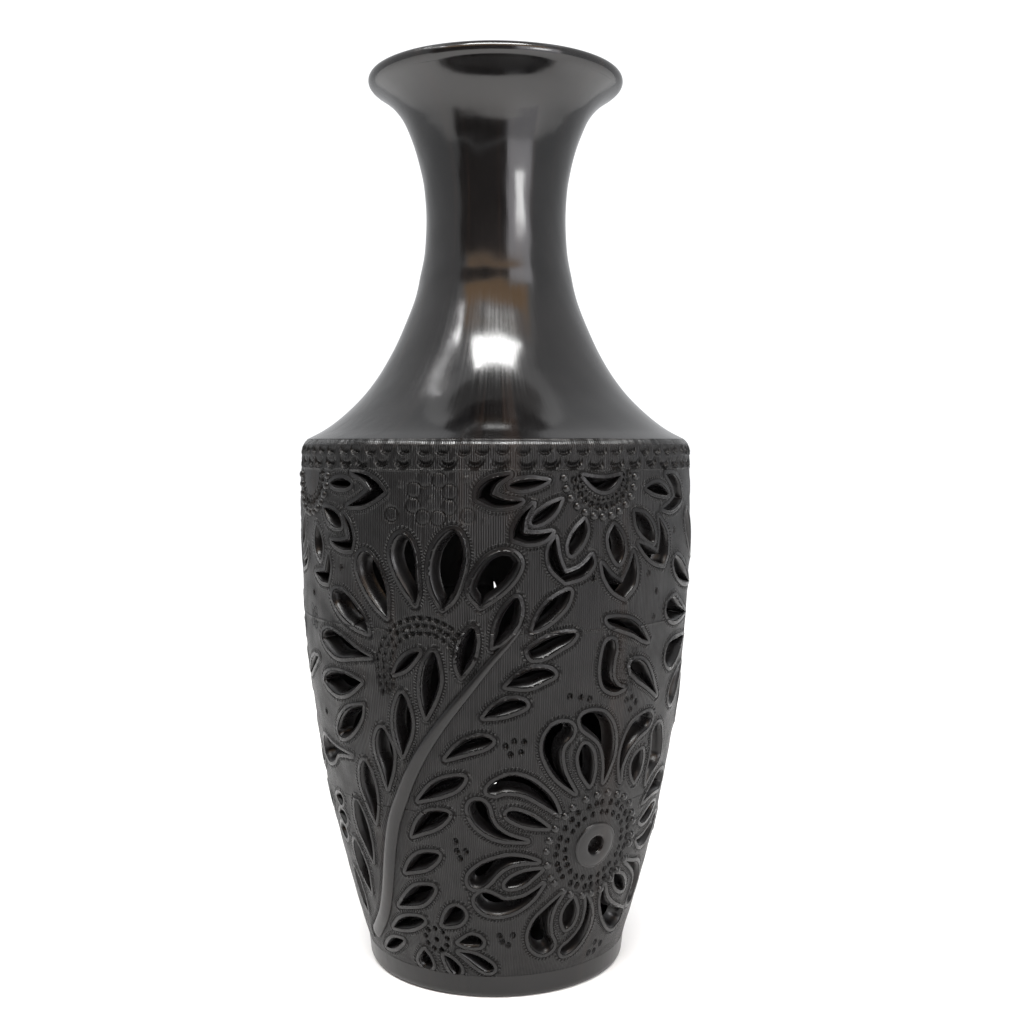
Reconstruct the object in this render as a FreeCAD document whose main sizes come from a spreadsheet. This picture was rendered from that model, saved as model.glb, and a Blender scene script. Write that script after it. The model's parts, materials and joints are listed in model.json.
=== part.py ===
import FreeCAD, Part
import Sketcher
import math
import os

# Barro negro jar: a tall burnished neck on a carved and pierced body.
# Millimetres. The origin is the centre of the foot, +Z goes up to the lip,
# and the front of the jar (the spray and the big flower) faces -Y.
# Directions round the jar are in degrees from the front, positive to the right.

Vector = FreeCAD.Vector

# ---------------------------------------------------------------- main sizes
BELLY_R = 110.6          # widest radius
BELLY_Z = 250.0          # height of the widest radius
BELLY_ARC = 791.0        # radius of the long side curve below it
UPPER_ARC = 1500.0       # radius of the nearly straight curve above it
FOOT_R = 71.2
HEEL_Z = 12.0            # where the rounded heel meets the side
FLOOR = 9.0              # floor thickness
WALL = 8.0
NECK_WALL = 7.0
THROAT_BORE = 32.6       # radius of the straight bore in the neck
RELIEF = 1.2             # how far the flower's boss stands out
BEAD_R = 2.3
FLOWER_BEAD_R = 2.6
CUT_DEPTH = 24.0         # how far a piercing reaches to either side of the face
PANEL_TURN = 187.0       # the back repeats the front panel, turned this far

SEAMS = {"lower": 105.0, "middle": 200.0, "upper": 281.0}


def side_radius(z):
    """Outer radius of the carved wall at height z."""
    arc = BELLY_ARC if z <= BELLY_Z else UPPER_ARC
    return BELLY_R - arc + math.sqrt(arc ** 2 - (z - BELLY_Z) ** 2)


# ---------------------------------------------------------------- profile
# Each station of the outline: name, radius, height, wall thickness there.
# Arcs run through three stations at a time.
def side_station(name, z):
    return (name, side_radius(z), z, WALL)


STATIONS = [
    side_station("heel", HEEL_Z),
    side_station("low_mid", 0.5 * (HEEL_Z + SEAMS["lower"])),
    side_station("seam_a", SEAMS["lower"]),
    side_station("mid_mid", 0.5 * (SEAMS["lower"] + SEAMS["middle"])),
    side_station("seam_b", SEAMS["middle"]),
    side_station("up_mid", 225.0),
    side_station("belly", BELLY_Z),
    side_station("belly_up", 266.0),
    side_station("seam_c", SEAMS["upper"]),
    side_station("band_mid", 285.5),
    side_station("band_top", 290.0),
    ("edge", 109.3, 293.8, WALL),
    ("seam_d", 106.8, 296.6, WALL),
    ("slope_a", 98.1, 301.2, NECK_WALL),
    ("slope_b", 84.0, 312.0, NECK_WALL),
    ("slope_c", 75.4, 320.5, NECK_WALL),
    ("slope_d", 68.0, 330.0, NECK_WALL),
    ("slope_e", 59.2, 344.5, NECK_WALL),
    ("seam_e", 52.0, 360.0, NECK_WALL),
    ("neck_a", 46.0, 376.0, NECK_WALL),
    ("neck_b", 42.4, 392.0, NECK_WALL),
    ("neck_c", 40.9, 400.5, NECK_WALL),
    ("throat_low", 40.1, 410.0, NECK_WALL),
    ("throat", 39.7, 422.0, NECK_WALL),
    ("throat_top", 40.3, 434.0, NECK_WALL),
    ("neck_d", 41.0, 440.5, NECK_WALL),
    ("seam_f", 42.2, 447.0, NECK_WALL),
    ("mouth_a", 44.2, 455.5, NECK_WALL),
    ("mouth_b", 48.4, 468.0, NECK_WALL),
    ("mouth_c", 53.3, 478.2, NECK_WALL),
    ("mouth_d", 59.4, 485.6, NECK_WALL),
    ("mouth_e", 63.8, 489.2, NECK_WALL),
    ("seam_g", 68.6, 492.4, NECK_WALL),
]
NAMES = [station[0] for station in STATIONS]


def outer_points():
    return {name: (radius, z) for name, radius, z, _ in STATIONS}


def inner_points():
    """The outline moved inwards by the wall thickness, at right angles."""
    points = {}
    for i, (name, radius, z, wall) in enumerate(STATIONS):
        if name in ("throat_low", "throat", "throat_top"):
            points[name] = (THROAT_BORE, z)
            continue
        before = STATIONS[max(i - 1, 0)]
        after = STATIONS[min(i + 1, len(STATIONS) - 1)]
        along = Vector(after[1] - before[1], after[2] - before[2], 0)
        along.normalize()
        points[name] = (radius - wall * along.y, z + wall * along.x)
    return points


OUTER = outer_points()
INNER = inner_points()

doc = FreeCAD.newDocument("BarroNegroJar")
sizes = doc.addObject("Spreadsheet::Sheet", "Sizes")
row = [0]


def size(alias, value):
    row[0] += 1
    sizes.set("A%d" % row[0], alias)
    sizes.set("B%d" % row[0], "%.4f" % value)
    sizes.setAlias("B%d" % row[0], alias)


for name in NAMES:
    size("out_%s_radius" % name, OUTER[name][0])
    size("out_%s_height" % name, OUTER[name][1])
    size("in_%s_radius" % name, INNER[name][0])
    size("in_%s_height" % name, INNER[name][1])
size("foot_radius", FOOT_R)
size("floor_thickness", FLOOR)
size("bead_radius", BEAD_R)
size("flower_bead_radius", FLOWER_BEAD_R)
size("boss_radius", 12.5)
size("boss_hole_radius", 5.0)
doc.recompute()


# ---------------------------------------------------------------- revolved sections
def arc_through(p, q, r):
    """Arc from p by way of q to r, always drawn anticlockwise.

    Returns the arc, and whether it had to be drawn from r to p.
    """
    way = Part.Arc(Vector(p[0], p[1], 0), Vector(q[0], q[1], 0), Vector(r[0], r[1], 0)).toShape().Curve
    centre = way.Center
    first = math.atan2(p[1] - centre.y, p[0] - centre.x)
    last = math.atan2(r[1] - centre.y, r[0] - centre.x)
    side = (q[0] - p[0]) * (r[1] - p[1]) - (q[1] - p[1]) * (r[0] - p[0])
    backwards = side < 0.0
    if backwards:
        first, last = last, first
    if last < first:
        last += 2.0 * math.pi
    circle = Part.Circle(centre, Vector(0, 0, 1), way.Radius)
    return Part.ArcOfCircle(circle, first, last), backwards


def turned_body(name, outline):
    """Revolve a closed outline about Z.

    outline is a list of edges in order. An edge is (start, end) for a line or
    (start, middle, end) for an arc, and each point is (label, radius, height).
    A point whose label is known to the sheet is tied to it.
    """
    body = doc.addObject("PartDesign::Body", name)
    sketch = body.newObject("Sketcher::SketchObject", name + "_outline")
    plane = [f for f in body.Origin.OriginFeatures if f.Role == "XZ_Plane"][0]
    sketch.AttachmentSupport = [(plane, "")]
    sketch.MapMode = "FlatFace"
    doc.recompute()
    ties = []
    for index, edge in enumerate(outline):
        start, end = edge[0], edge[-1]
        if len(edge) == 3:
            curve, flipped = arc_through(start[1:], edge[1][1:], end[1:])
            sketch.addGeometry(curve, False)
        else:
            line = Part.LineSegment(Vector(start[1], start[2], 0), Vector(end[1], end[2], 0))
            sketch.addGeometry(line, False)
            flipped = False
        ties.append((2, 1) if flipped else (1, 2))
    count = len(outline)
    for index in range(count):
        after = (index + 1) % count
        sketch.addConstraint(Sketcher.Constraint("Coincident", index, ties[index][1], after, ties[after][0]))
    for index, edge in enumerate(outline):
        label, radius, height = edge[0]
        place = ties[index][0]
        for kind, axis, value in (("DistanceX", "radius", radius), ("DistanceY", "height", height)):
            if abs(value) < 1e-9:
                on_axis = -2 if kind == "DistanceX" else -1
                tie = Sketcher.Constraint("PointOnObject", index, place, on_axis)
                sketch.addConstraint(tie)
                continue
            number = sketch.addConstraint(Sketcher.Constraint(kind, -1, 1, index, place, value))
            if label:
                alias = label if label in LONE_SIZES else "%s_%s" % (label, axis)
                if alias in KNOWN:
                    sketch.setExpression("Constraints[%d]" % number, "Sizes." + alias)
        if len(edge) == 3:
            geometry = sketch.Geometry[index]
            sketch.addConstraint(Sketcher.Constraint("Radius", index, geometry.Radius))
    doc.recompute()
    turn = body.newObject("PartDesign::Revolution", name + "_turned")
    turn.Profile = sketch
    turn.ReferenceAxis = (sketch, ["V_Axis"])
    turn.Angle = 360.0
    sketch.Visibility = False
    doc.recompute()
    return body


KNOWN = set()
for name in NAMES:
    for side in ("out", "in"):
        KNOWN.add("%s_%s_radius" % (side, name))
        KNOWN.add("%s_%s_height" % (side, name))
KNOWN.add("foot_radius")
LONE_SIZES = ("foot_radius",)


def out(name):
    return ("out_" + name,) + OUTER[name]


def inn(name):
    return ("in_" + name,) + INNER[name]


def wall_outline(first, last, bore_line=False):
    """Closed outline of the wall between two stations, seam to seam."""
    span = NAMES[NAMES.index(first):NAMES.index(last) + 1]
    edges = []
    for i in range(0, len(span) - 1, 2):
        edges.append((out(span[i]), out(span[i + 1]), out(span[i + 2])))
    edges.append((out(last), inn(last)))
    back = span[::-1]
    for i in range(0, len(back) - 1, 2):
        if back[i + 1] == "throat":
            edges.append((inn(back[i]), inn(back[i + 2])))
        else:
            edges.append((inn(back[i]), inn(back[i + 1]), inn(back[i + 2])))
    edges.append((inn(first), out(first)))
    return edges


heel = OUTER["heel"]
inner_heel = INNER["heel"]
base_outline = [
    (("", 0, 0), ("foot_radius", FOOT_R, 0)),
    (("foot_radius", FOOT_R, 0), ("", 73.1, 3.6), out("heel")),
    (out("heel"), inn("heel")),
    (inn("heel"), ("", inner_heel[0] - 2.2, FLOOR + 1.6), ("", inner_heel[0] - 8.0, FLOOR)),
    (("", inner_heel[0] - 8.0, FLOOR), ("", 0, FLOOR)),
    (("", 0, FLOOR), ("", 0, 0)),
]
base = turned_body("base_bowl", base_outline)
lower = turned_body("lower_wall_turned", wall_outline("heel", "seam_a"))
middle = turned_body("middle_wall_turned", wall_outline("seam_a", "seam_b"))
upper = turned_body("upper_wall_turned", wall_outline("seam_b", "seam_c"))
band = turned_body("stamped_band_turned", wall_outline("seam_c", "seam_d"))
shoulder = turned_body("shoulder", wall_outline("seam_d", "seam_e"))
neck = turned_body("neck", wall_outline("seam_e", "seam_f"))
mouth = turned_body("mouth", wall_outline("seam_f", "seam_g"))

# The lip is a round coil on the flared mouth.
LIP = (67.95, 496.75)
LIP_R = 3.75
LEAN = math.radians(38.0)


def lip_point(angle):
    return ("", LIP[0] + LIP_R * math.cos(angle), LIP[1] + LIP_R * math.sin(angle))


lip_under = lip_point(LEAN - math.pi / 2)
lip_over = lip_point(LEAN + math.pi / 2)
rim_outline = [
    (out("seam_g"), lip_under),
    (lip_under, lip_point(LEAN - math.pi / 4), lip_point(LEAN)),
    (lip_point(LEAN), lip_point(LEAN + math.pi / 4), lip_over),
    (lip_over, inn("seam_g")),
    (inn("seam_g"), out("seam_g")),
]
rim = turned_body("rim_coil", rim_outline)

# A solid that fills the jar's outer shape, used to seat the applied clay.
envelope_edges = [
    (out("heel"), out("seam_a"), out("belly")),
    (out("belly"), out("belly_up"), out("seam_c")),
    (out("seam_c"), ("", 0, SEAMS["upper"])),
    (("", 0, SEAMS["upper"]), ("", 0, HEEL_Z)),
    (("", 0, HEEL_Z), out("heel")),
]
envelope = turned_body("envelope", envelope_edges)


# ---------------------------------------------------------------- carving
# Piercings are planned on the unrolled wall as ((turn, z) points) and each
# one is cut along its own direction out from the axis.
def unrolled(turn, z, x, y):
    """Point x mm right and y mm up from (turn, z), as (turn, z) again."""
    return (turn + math.degrees(x / side_radius(z)), z + y)


def polar(turn, z, angle, radius, side=0.0):
    """Point at a radius and direction round a flower, shifted sideways."""
    a = math.radians(angle)
    x = radius * math.cos(a) - side * math.sin(a)
    y = radius * math.sin(a) + side * math.cos(a)
    return unrolled(turn, z, x, y)


class Opening:
    """A closed outline of arcs through the wall."""

    def __init__(self, edges):
        points = [p for edge in edges for p in edge]
        self.turn = sum(p[0] for p in points) / len(points)
        self.z = sum(p[1] for p in points) / len(points)
        self.low = min(p[1] for p in points)
        self.high = max(p[1] for p in points)
        self.edges = edges

    def prism(self, inwards=CUT_DEPTH, outwards=CUT_DEPTH):
        face_r = side_radius(self.z)
        a = math.radians(self.turn)
        across = Vector(math.cos(a), math.sin(a), 0)
        away = Vector(math.sin(a), -math.cos(a), 0)
        start = away * (face_r - inwards)

        def place(p):
            x = face_r * math.sin(math.radians(p[0] - self.turn))
            return start + across * x + Vector(0, 0, p[1])

        curves = []
        for edge in self.edges:
            if len(edge) == 2:
                curves.append(Part.LineSegment(place(edge[0]), place(edge[1])).toShape())
            else:
                curves.append(Part.Arc(*[place(p) for p in edge]).toShape())
        face = Part.Face(Part.Wire(Part.__sortEdges__(curves)))
        return face.extrude(away * (inwards + outwards))


def offset_mid(p, q, bulge):
    """Middle of p-q pushed bulge mm to the left of the way from p to q."""
    z = 0.5 * (p[1] + q[1])
    face_r = side_radius(min(z, 294.0))
    dx = math.radians(q[0] - p[0]) * face_r
    dy = q[1] - p[1]
    length = math.hypot(dx, dy)
    turn = 0.5 * (p[0] + q[0]) + math.degrees(-dy / length * bulge / face_r)
    return (turn, z + dx / length * bulge)


def leaf(p, q, width):
    """A pointed almond from p to q."""
    half = 0.5 * width
    return Opening([(p, offset_mid(p, q, half), q), (q, offset_mid(q, p, half), p)])


def bent_leaf(p, q, left, right):
    """A leaf whose two sides bulge by different amounts; a negative one caves in."""
    return Opening([(p, offset_mid(p, q, left), q), (q, offset_mid(q, p, right), p)])


def drop(turn, z, angle, near, far, width):
    """A teardrop pointing at a flower's centre, round end outwards."""
    half = 0.5 * width
    tip = polar(turn, z, angle, near)
    one = polar(turn, z, angle, far - half, half)
    two = polar(turn, z, angle, far - half, -half)
    end = polar(turn, z, angle, far)
    return Opening([(tip, offset_mid(tip, one, 1.2), one), (one, end, two), (two, offset_mid(two, tip, 1.2), tip)])


def sunflower(turn, z, far, angles):
    return [drop(turn, z, angle, 38.0, far, 12.0) for angle in angles]


def big_flower(turn, z):
    left, right = polar(turn, z, 180.0, 5.0), polar(turn, z, 0.0, 5.0)
    top, low = (turn, z + 5.0), (turn, z - 5.0)
    cuts = [Opening([(left, top, right), (right, low, left)])]
    for angle in (103, 156, 202, 251, 311, 8, 58):
        cuts.append(leaf(polar(turn, z, angle, 37.0), polar(turn, z, angle, 57.0), 8.0))
        for side in (1, -1):
            foot = polar(turn, z, angle, 40.0, side * 10.5)
            outer = polar(turn, z, angle, 58.0, side * 15.0)
            top = polar(turn, z, angle, 70.0, side * 2.0)
            low = polar(turn, z, angle, 66.0, side * 2.0)
            inner = polar(turn, z, angle, 56.0, side * 9.0)
            cuts.append(Opening([(foot, outer, top), (top, low), (low, inner, foot)]))
    return cuts


def hanging_flower(turn, z):
    wide, deep = 5.5, 7.5
    left, right, low = (turn - wide, z - 1.5), (turn + wide, z - 1.5), (turn, z - 1.5 - deep)
    cuts = [Opening([(left, low, right), (right, (turn, z - 3.0), left)])]
    for angle in (188, 214, 247, 282, 316, 350):
        cuts.append(leaf(polar(turn, z, angle, 27.0), polar(turn, z, angle, 45.0), 7.0))
        one = polar(turn, z, angle, 42.0, 11.0)
        two = polar(turn, z, angle, 42.0, -11.0)
        tip = polar(turn, z, angle, 64.0)
        inner = polar(turn, z, angle, 55.0)
        if angle in (188, 350):
            continue
        cuts.append(Opening([
            (one, polar(turn, z, angle, 54.0, 8.0), tip),
            (tip, polar(turn, z, angle, 54.0, -8.0), two),
            (two, polar(turn, z, angle, 49.5, -5.6), inner),
            (inner, polar(turn, z, angle, 49.5, 5.6), one),
        ]))
    return cuts


# Centreline of the spray, from its foot to its tip.
STEM = [(-58, 24), (-46, 46), (-38, 80), (-28, 120), (-12, 160), (4, 193), (9, 205)]
# Leaves left and right of it: (far end, stem end, width).
SPRAY_LEAVES = [
    ((-64, 60), (-61, 35), 5), ((-57, 79), (-53, 50), 9), ((-51, 104), (-47, 71), 9),
    ((-43, 128), (-42, 95), 10), ((-35, 148), (-35, 117), 10), ((-26.5, 168), (-28, 136), 9),
    ((-16, 190), (-20, 157), 8), ((-6.5, 203), (-10, 183), 6), ((5.5, 218), (-1, 195), 8),
    ((19.5, 221), (9.5, 205), 7),
    ((22, 199), (8, 191), 7), ((16, 180), (2, 173), 7), ((8, 166), (-4, 158), 7),
    ((-2, 147), (-12.5, 139), 7), ((-8.5, 126), (-22, 112), 8), ((-14.5, 106.5), (-26.5, 92), 8),
    ((-18.5, 83), (-30.5, 70), 8), ((-22, 64), (-36, 48.5), 8), ((-28, 44), (-42, 33), 8),
    ((-39, 27), (-51, 18), 7),
]


def spray(turn):
    cuts = []
    for far, near, width in SPRAY_LEAVES:
        cuts.append(leaf((turn + far[0], far[1]), (turn + near[0], near[1]), width))
    return cuts


def curled_leaf(turn):
    """The curl to the right of the spray: a top leaf, a C and a drop."""
    top = leaf((turn + 30.5, 205.5), (turn + 46.5, 192), 8.0)
    ends = (turn + 36, 194.5), (turn + 38, 168.5)
    curl = Opening([
        (ends[0], (turn + 29.5, 181), ends[1]),
        (ends[1], (turn + 33.5, 180.5), ends[0]),
    ])
    return [top, curl, bent_leaf((turn + 40, 181), (turn + 53, 163), 6.0, 4.0)]


def small_flower(turn, z):
    return [
        leaf((turn + 9, z), (turn + 19, z + 3.0), 6.0),
        leaf((turn + 5.5, z - 8.5), (turn + 9.0, z - 17.5), 5.5),
        leaf((turn - 5.5, z - 7.0), (turn - 5.5, z - 18.0), 5.5),
        leaf((turn + 5.0, z + 9.0), (turn + 11.0, z + 22.0), 6.0),
    ]


def side_flower(turn, z, petals, far):
    return [drop(turn, z, 90.0 + 360.0 * i / petals, 13.0, far, 8.0) for i in range(petals)]


openings = []
for panel in (0.0, PANEL_TURN):
    openings += sunflower(panel - 20.0, 180.0, 70.0, (52, 77, 99, 121, 147, 171, 192, 211))
    openings += spray(panel)
    openings += big_flower(panel + 34.0, 84.0)
    openings += curled_leaf(panel)
    openings += small_flower(panel - 24.0, 32.0)
openings += sunflower(93.0, 194.0, 64.0, [22.5 * i for i in range(16) if i not in (3, 4, 5)])
openings += side_flower(93.0, 84.0, 8, 34.0)
openings += side_flower(277.0, 190.0, 8, 30.0)
HANGING = [29.0 + 90.0 * i for i in range(4)]
for turn in HANGING:
    openings += hanging_flower(turn, 279.0)


def far_enough(one, other):
    """True when two planned openings keep a bridge of clay between them."""
    step = (one.turn - other.turn + 180.0) % 360.0 - 180.0
    across = math.radians(step) * side_radius(min(one.z, 290.0))
    return math.hypot(across, one.z - other.z) > 7.0


kept = []
for opening in openings:
    if all(far_enough(opening, other) for other in kept):
        kept.append(opening)
print("openings planned", len(openings), "kept", len(kept))


def clean_tools(shapes):
    """Join cutters that touch each other, so that no two of them overlap."""
    groups = []
    for shape in shapes:
        joined = shape
        rest = []
        for group in groups:
            near = joined.BoundBox.intersect(group.BoundBox)
            if near and joined.common(group).Volume > 1e-3:
                joined = joined.fuse(group)
            else:
                rest.append(group)
        groups = rest + [joined]
    return groups


def cut_wall(name, body, cutters):
    tool = doc.addObject("Part::Feature", name + "_cutters")
    tool.Shape = Part.makeCompound(cutters)
    cut = doc.addObject("Part::Cut", name)
    cut.Base = body
    cut.Tool = tool
    doc.recompute()
    return cut


def wall_cutters(low, high):
    return clean_tools([o.prism() for o in kept if o.high > low - 3.0 and o.low < high + 3.0])


lower_wall = cut_wall("lower_wall", lower, wall_cutters(HEEL_Z, SEAMS["lower"]))
middle_wall = cut_wall("middle_wall", middle, wall_cutters(SEAMS["lower"], SEAMS["middle"]))
upper_wall = cut_wall("upper_wall", upper, wall_cutters(SEAMS["middle"], SEAMS["upper"]))


# Two rows of thumbnail stamps run round the band under the shoulder edge.
def stamp(turn, z, half_width, depth_of_smile):
    spread = math.degrees(half_width / BELLY_R)
    left, right = (turn - spread, z + 2.2), (turn + spread, z + 2.2)
    low = (turn, z - depth_of_smile)
    return Opening([(left, low, right), (right, (turn, z + 0.9), left)])


stamps = []
for count, z, half_width, smile in ((68, 289.2, 3.6, 2.2), (54, 283.9, 4.4, 1.5)):
    for i in range(count):
        mark = stamp(360.0 * i / count, z, half_width, smile)
        stamps.append(mark.prism(inwards=1.6 if smile > 2.0 else 1.2, outwards=4.0))
stamped_band = cut_wall("stamped_band", band, stamps)


# ---------------------------------------------------------------- applied clay
def on_wall(turn, z, lift=0.0):
    a = math.radians(turn)
    radius = side_radius(z) + lift
    return Vector(radius * math.sin(a), -radius * math.cos(a), z)


def seated(name, shape_object):
    """Trim an applied piece where it meets the wall."""
    cut = doc.addObject("Part::Cut", name)
    cut.Base = shape_object
    cut.Tool = envelope
    doc.recompute()
    return cut


def pellets(name, places, alias):
    """Half-round pellets of clay pressed on to the wall, flat side down."""
    balls = []
    for i, (turn, z) in enumerate(places):
        ball = doc.addObject("Part::Sphere", "%s_ball_%d" % (name, i + 1))
        ball.Angle1 = 0.0
        ball.setExpression("Radius", "Sizes.%s * 1 mm" % alias)
        spot = on_wall(turn, z)
        outwards = FreeCAD.Rotation(Vector(0, 0, 1), Vector(spot.x, spot.y, 0))
        ball.Placement = FreeCAD.Placement(spot, outwards)
        balls.append(ball)
    group = doc.addObject("Part::Compound", name)
    group.Links = balls
    doc.recompute()
    return group


nodes = [base, lower_wall, middle_wall, upper_wall, stamped_band, shoulder, neck, mouth, rim]

for label, panel in (("front", 0.0), ("back", PANEL_TURN)):
    turn, z = panel + 34.0, 84.0
    ring = [polar(turn, z, 360.0 * i / 24, 28.5) for i in range(24)]
    nodes.append(pellets("flower_beads_" + label, ring, "flower_bead_radius"))

    disc = doc.addObject("Part::Cylinder", "boss_disc_" + label)
    disc.setExpression("Radius", "Sizes.boss_radius * 1 mm")
    disc.Height = 20.0
    hole = doc.addObject("Part::Cylinder", "boss_hole_" + label)
    hole.setExpression("Radius", "Sizes.boss_hole_radius * 1 mm")
    hole.Height = 20.0
    outwards = on_wall(turn, z) - Vector(0, 0, z)
    turned = FreeCAD.Rotation(Vector(0, 0, 1), outwards)
    back = on_wall(turn, z) - outwards.normalize() * (20.0 - RELIEF)
    for item in (disc, hole):
        item.Placement = FreeCAD.Placement(back, turned)
    ringed = doc.addObject("Part::Cut", "boss_ring_" + label)
    ringed.Base = disc
    ringed.Tool = hole
    doc.recompute()
    nodes.append(seated("flower_boss_" + label, ringed))

    # The stem is one tapered roll of clay pressed along the wall.
    line = Part.BSplineCurve()
    line.interpolate([on_wall(panel + t, h) for t, h in STEM])
    path = line.toShape()
    start, finish = path.valueAt(path.FirstParameter), path.valueAt(path.LastParameter)
    root = Part.Wire(Part.makeCircle(4.3, start, path.tangentAt(path.FirstParameter)))
    end = Part.Wire(Part.makeCircle(1.9, finish, path.tangentAt(path.LastParameter)))
    shell = Part.BRepOffsetAPI.MakePipeShell(Part.Wire(path))
    shell.setFrenetMode(False)
    shell.add(root)
    shell.add(end)
    shell.build()
    shell.makeSolid()
    roll = doc.addObject("Part::Feature", "stem_roll_" + label)
    roll.Shape = shell.shape()
    nodes.append(seated("spray_stem_" + label, roll))

for number, turn in enumerate(HANGING):
    ring = [polar(turn, 279.0, 194.0 + 14.0 * i, 21.5) for i in range(12)]
    nodes.append(pellets("hanging_beads_%d" % (number + 1), ring, "bead_radius"))

# ---------------------------------------------------------------- checks and export
doc.recompute()
for item in doc.Objects:
    for word in ("Invalid", "Error"):
        if word in item.State:
            raise RuntimeError("%s is %s" % (item.Name, word))
os.makedirs("parts", exist_ok=True)
for node in nodes:
    node.Label = node.Name
    shape = node.Shape
    if shape.isNull() or not shape.isValid():
        raise RuntimeError("bad shape in " + node.Label)
    print("%-22s solids %3d volume %10.0f box %s" % (node.Label, len(shape.Solids), shape.Volume, shape.BoundBox))
    shape.exportStep("parts/%s.step" % node.Label)
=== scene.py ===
import json
import math

import bpy
import numpy as np
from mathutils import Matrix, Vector
from mathutils.geometry import delaunay_2d_cdt

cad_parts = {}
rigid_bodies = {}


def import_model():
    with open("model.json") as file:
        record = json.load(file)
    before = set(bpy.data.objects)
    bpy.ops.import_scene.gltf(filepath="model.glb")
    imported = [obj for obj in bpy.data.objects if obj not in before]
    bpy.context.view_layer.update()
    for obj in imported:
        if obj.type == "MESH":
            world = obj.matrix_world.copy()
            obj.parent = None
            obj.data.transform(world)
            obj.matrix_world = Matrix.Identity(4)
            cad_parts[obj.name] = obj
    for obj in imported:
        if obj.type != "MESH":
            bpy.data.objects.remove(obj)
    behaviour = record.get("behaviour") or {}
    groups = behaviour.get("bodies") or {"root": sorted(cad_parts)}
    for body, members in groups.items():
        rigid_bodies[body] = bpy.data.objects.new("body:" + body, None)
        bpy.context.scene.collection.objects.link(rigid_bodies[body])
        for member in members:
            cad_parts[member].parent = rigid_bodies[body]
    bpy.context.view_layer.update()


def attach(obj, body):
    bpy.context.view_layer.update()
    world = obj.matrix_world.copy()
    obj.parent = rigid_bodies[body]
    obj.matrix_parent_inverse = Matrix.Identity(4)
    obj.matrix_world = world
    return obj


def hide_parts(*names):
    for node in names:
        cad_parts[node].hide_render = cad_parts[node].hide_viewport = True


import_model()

# Black clay jar. Lengths below are millimetres until a mesh is made; angles round the
# jar are degrees from the front (-Y), positive to the right.
MM = 0.001
CAMERA = (0.0, -737.0, 295.9)

BELLY_R = 110.6          # widest radius
BELLY_Z = 250.0          # its height
BELLY_ARC = 791.0        # side curve below it
UPPER_ARC = 1500.0       # and above it
WALL_TOP = 294.0         # the side curve is not used above this
FOOT_R = 71.2
FLOOR_Z = 9.0
NECK_WALL = 7.0
RIM_R, RIM_Z, RIM_COIL = 67.95, 496.75, 3.75
HEART_TURN, HEART_Z = 34.0, 84.0     # middle of the big flower
SUN_TURN = -20.0                     # middle of the sunflower
HANGING_TURNS = (29.0, 119.0, 209.0, -64.0)
HANGING_Z = 279.0
STEM_R = 97.0            # radius at which the stem is laid out flat
ROUGH_R = 100            # near enough to the radius to pick out neighbours
TURNS = 288              # faces round a turned section


def wall_r(z):
    """Radius of the outer face of the side at a height."""
    z = np.asarray(z, float)
    arc = np.where(z <= BELLY_Z, BELLY_ARC, UPPER_ARC)
    return BELLY_R - arc + np.sqrt(arc ** 2 - (z - BELLY_Z) ** 2)


def radius_at(z):
    """The same for one place, held at the top of the side curve."""
    return float(wall_r(min(z, WALL_TOP)))


STEP = 0.9


def curve(pts, closed=True):
    """Smooth Catmull-Rom outline through points; a point given twice is a corner."""
    pts = [tuple(p) for p in pts]
    n = len(pts)
    out = []
    for i in range(n if closed else n - 1):
        p1, p2 = np.array(pts[i]), np.array(pts[(i + 1) % n])
        if np.allclose(p1, p2):
            continue
        p0 = np.array(pts[(i - 1) % n]) if (closed or i > 0) else p1
        p3 = np.array(pts[(i + 2) % n]) if (closed or i < n - 2) else p2
        m1 = (p2 - p0) * 0.5 if not np.allclose(p0, p1) else (p2 - p1) * 0.8
        m2 = (p3 - p1) * 0.5 if not np.allclose(p2, p3) else (p2 - p1) * 0.8
        k = max(2, int(np.linalg.norm(p2 - p1) / STEP + 0.5))
        t = (np.arange(k) / k)[:, None]
        out.append((2 * t ** 3 - 3 * t ** 2 + 1) * p1 + (t ** 3 - 2 * t ** 2 + t) * m1
                   + (-2 * t ** 3 + 3 * t ** 2) * p2 + (t ** 3 - t ** 2) * m2)
    return np.concatenate(out)


def flat(pts):
    """(degrees, z) points to mm about their own middle, with the middle."""
    pts = np.asarray(pts, float)
    mid = pts.mean(0)
    r = radius_at(mid[1])
    return np.stack([np.radians(pts[:, 0] - mid[0]) * r, pts[:, 1] - mid[1]], 1), mid, r


def unflat(p, mid, r):
    return np.stack([np.radians(mid[0]) + p[:, 0] / r, p[:, 1] + mid[1]], 1)


class Hole:
    """An opening: its outline in (radians, z), and the sizes of its cut in mm."""

    def __init__(self, outline, bevel=1.7, depth=3.0, lip=0.9, hatch=1.0):
        self.o, self.bevel, self.depth, self.lip, self.hatch = outline, bevel, depth, lip, hatch


holes = []
dots = []      # turn, z, radius, depth
rings = []     # turn, z, radius, width, depth
bumps = []     # turn, z, radius, height
beads = []     # turn, z, radius
scales = []    # turn, z, radius, facing, depth


def polar(turn, z, ang, rad, side=0.0):
    """The place (degrees, z) that is rad mm from a middle in the direction ang."""
    a = math.radians(ang)
    x = rad * math.cos(a) - side * math.sin(a)
    y = rad * math.sin(a) + side * math.cos(a)
    return (turn + math.degrees(x / radius_at(z + 0.5 * y)), z + y)


def traced(*pts, **how):
    """An opening from (degrees, z) points; the first point is its sharp tip."""
    f, mid, r = flat((pts[0],) + pts)
    return Hole(unflat(curve(f), mid, r), **how)


def turned(turn, hole):
    o = hole.o.copy()
    o[:, 0] += math.radians(turn)
    return Hole(o, hole.bevel, hole.depth, hole.lip, hole.hatch)


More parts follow.
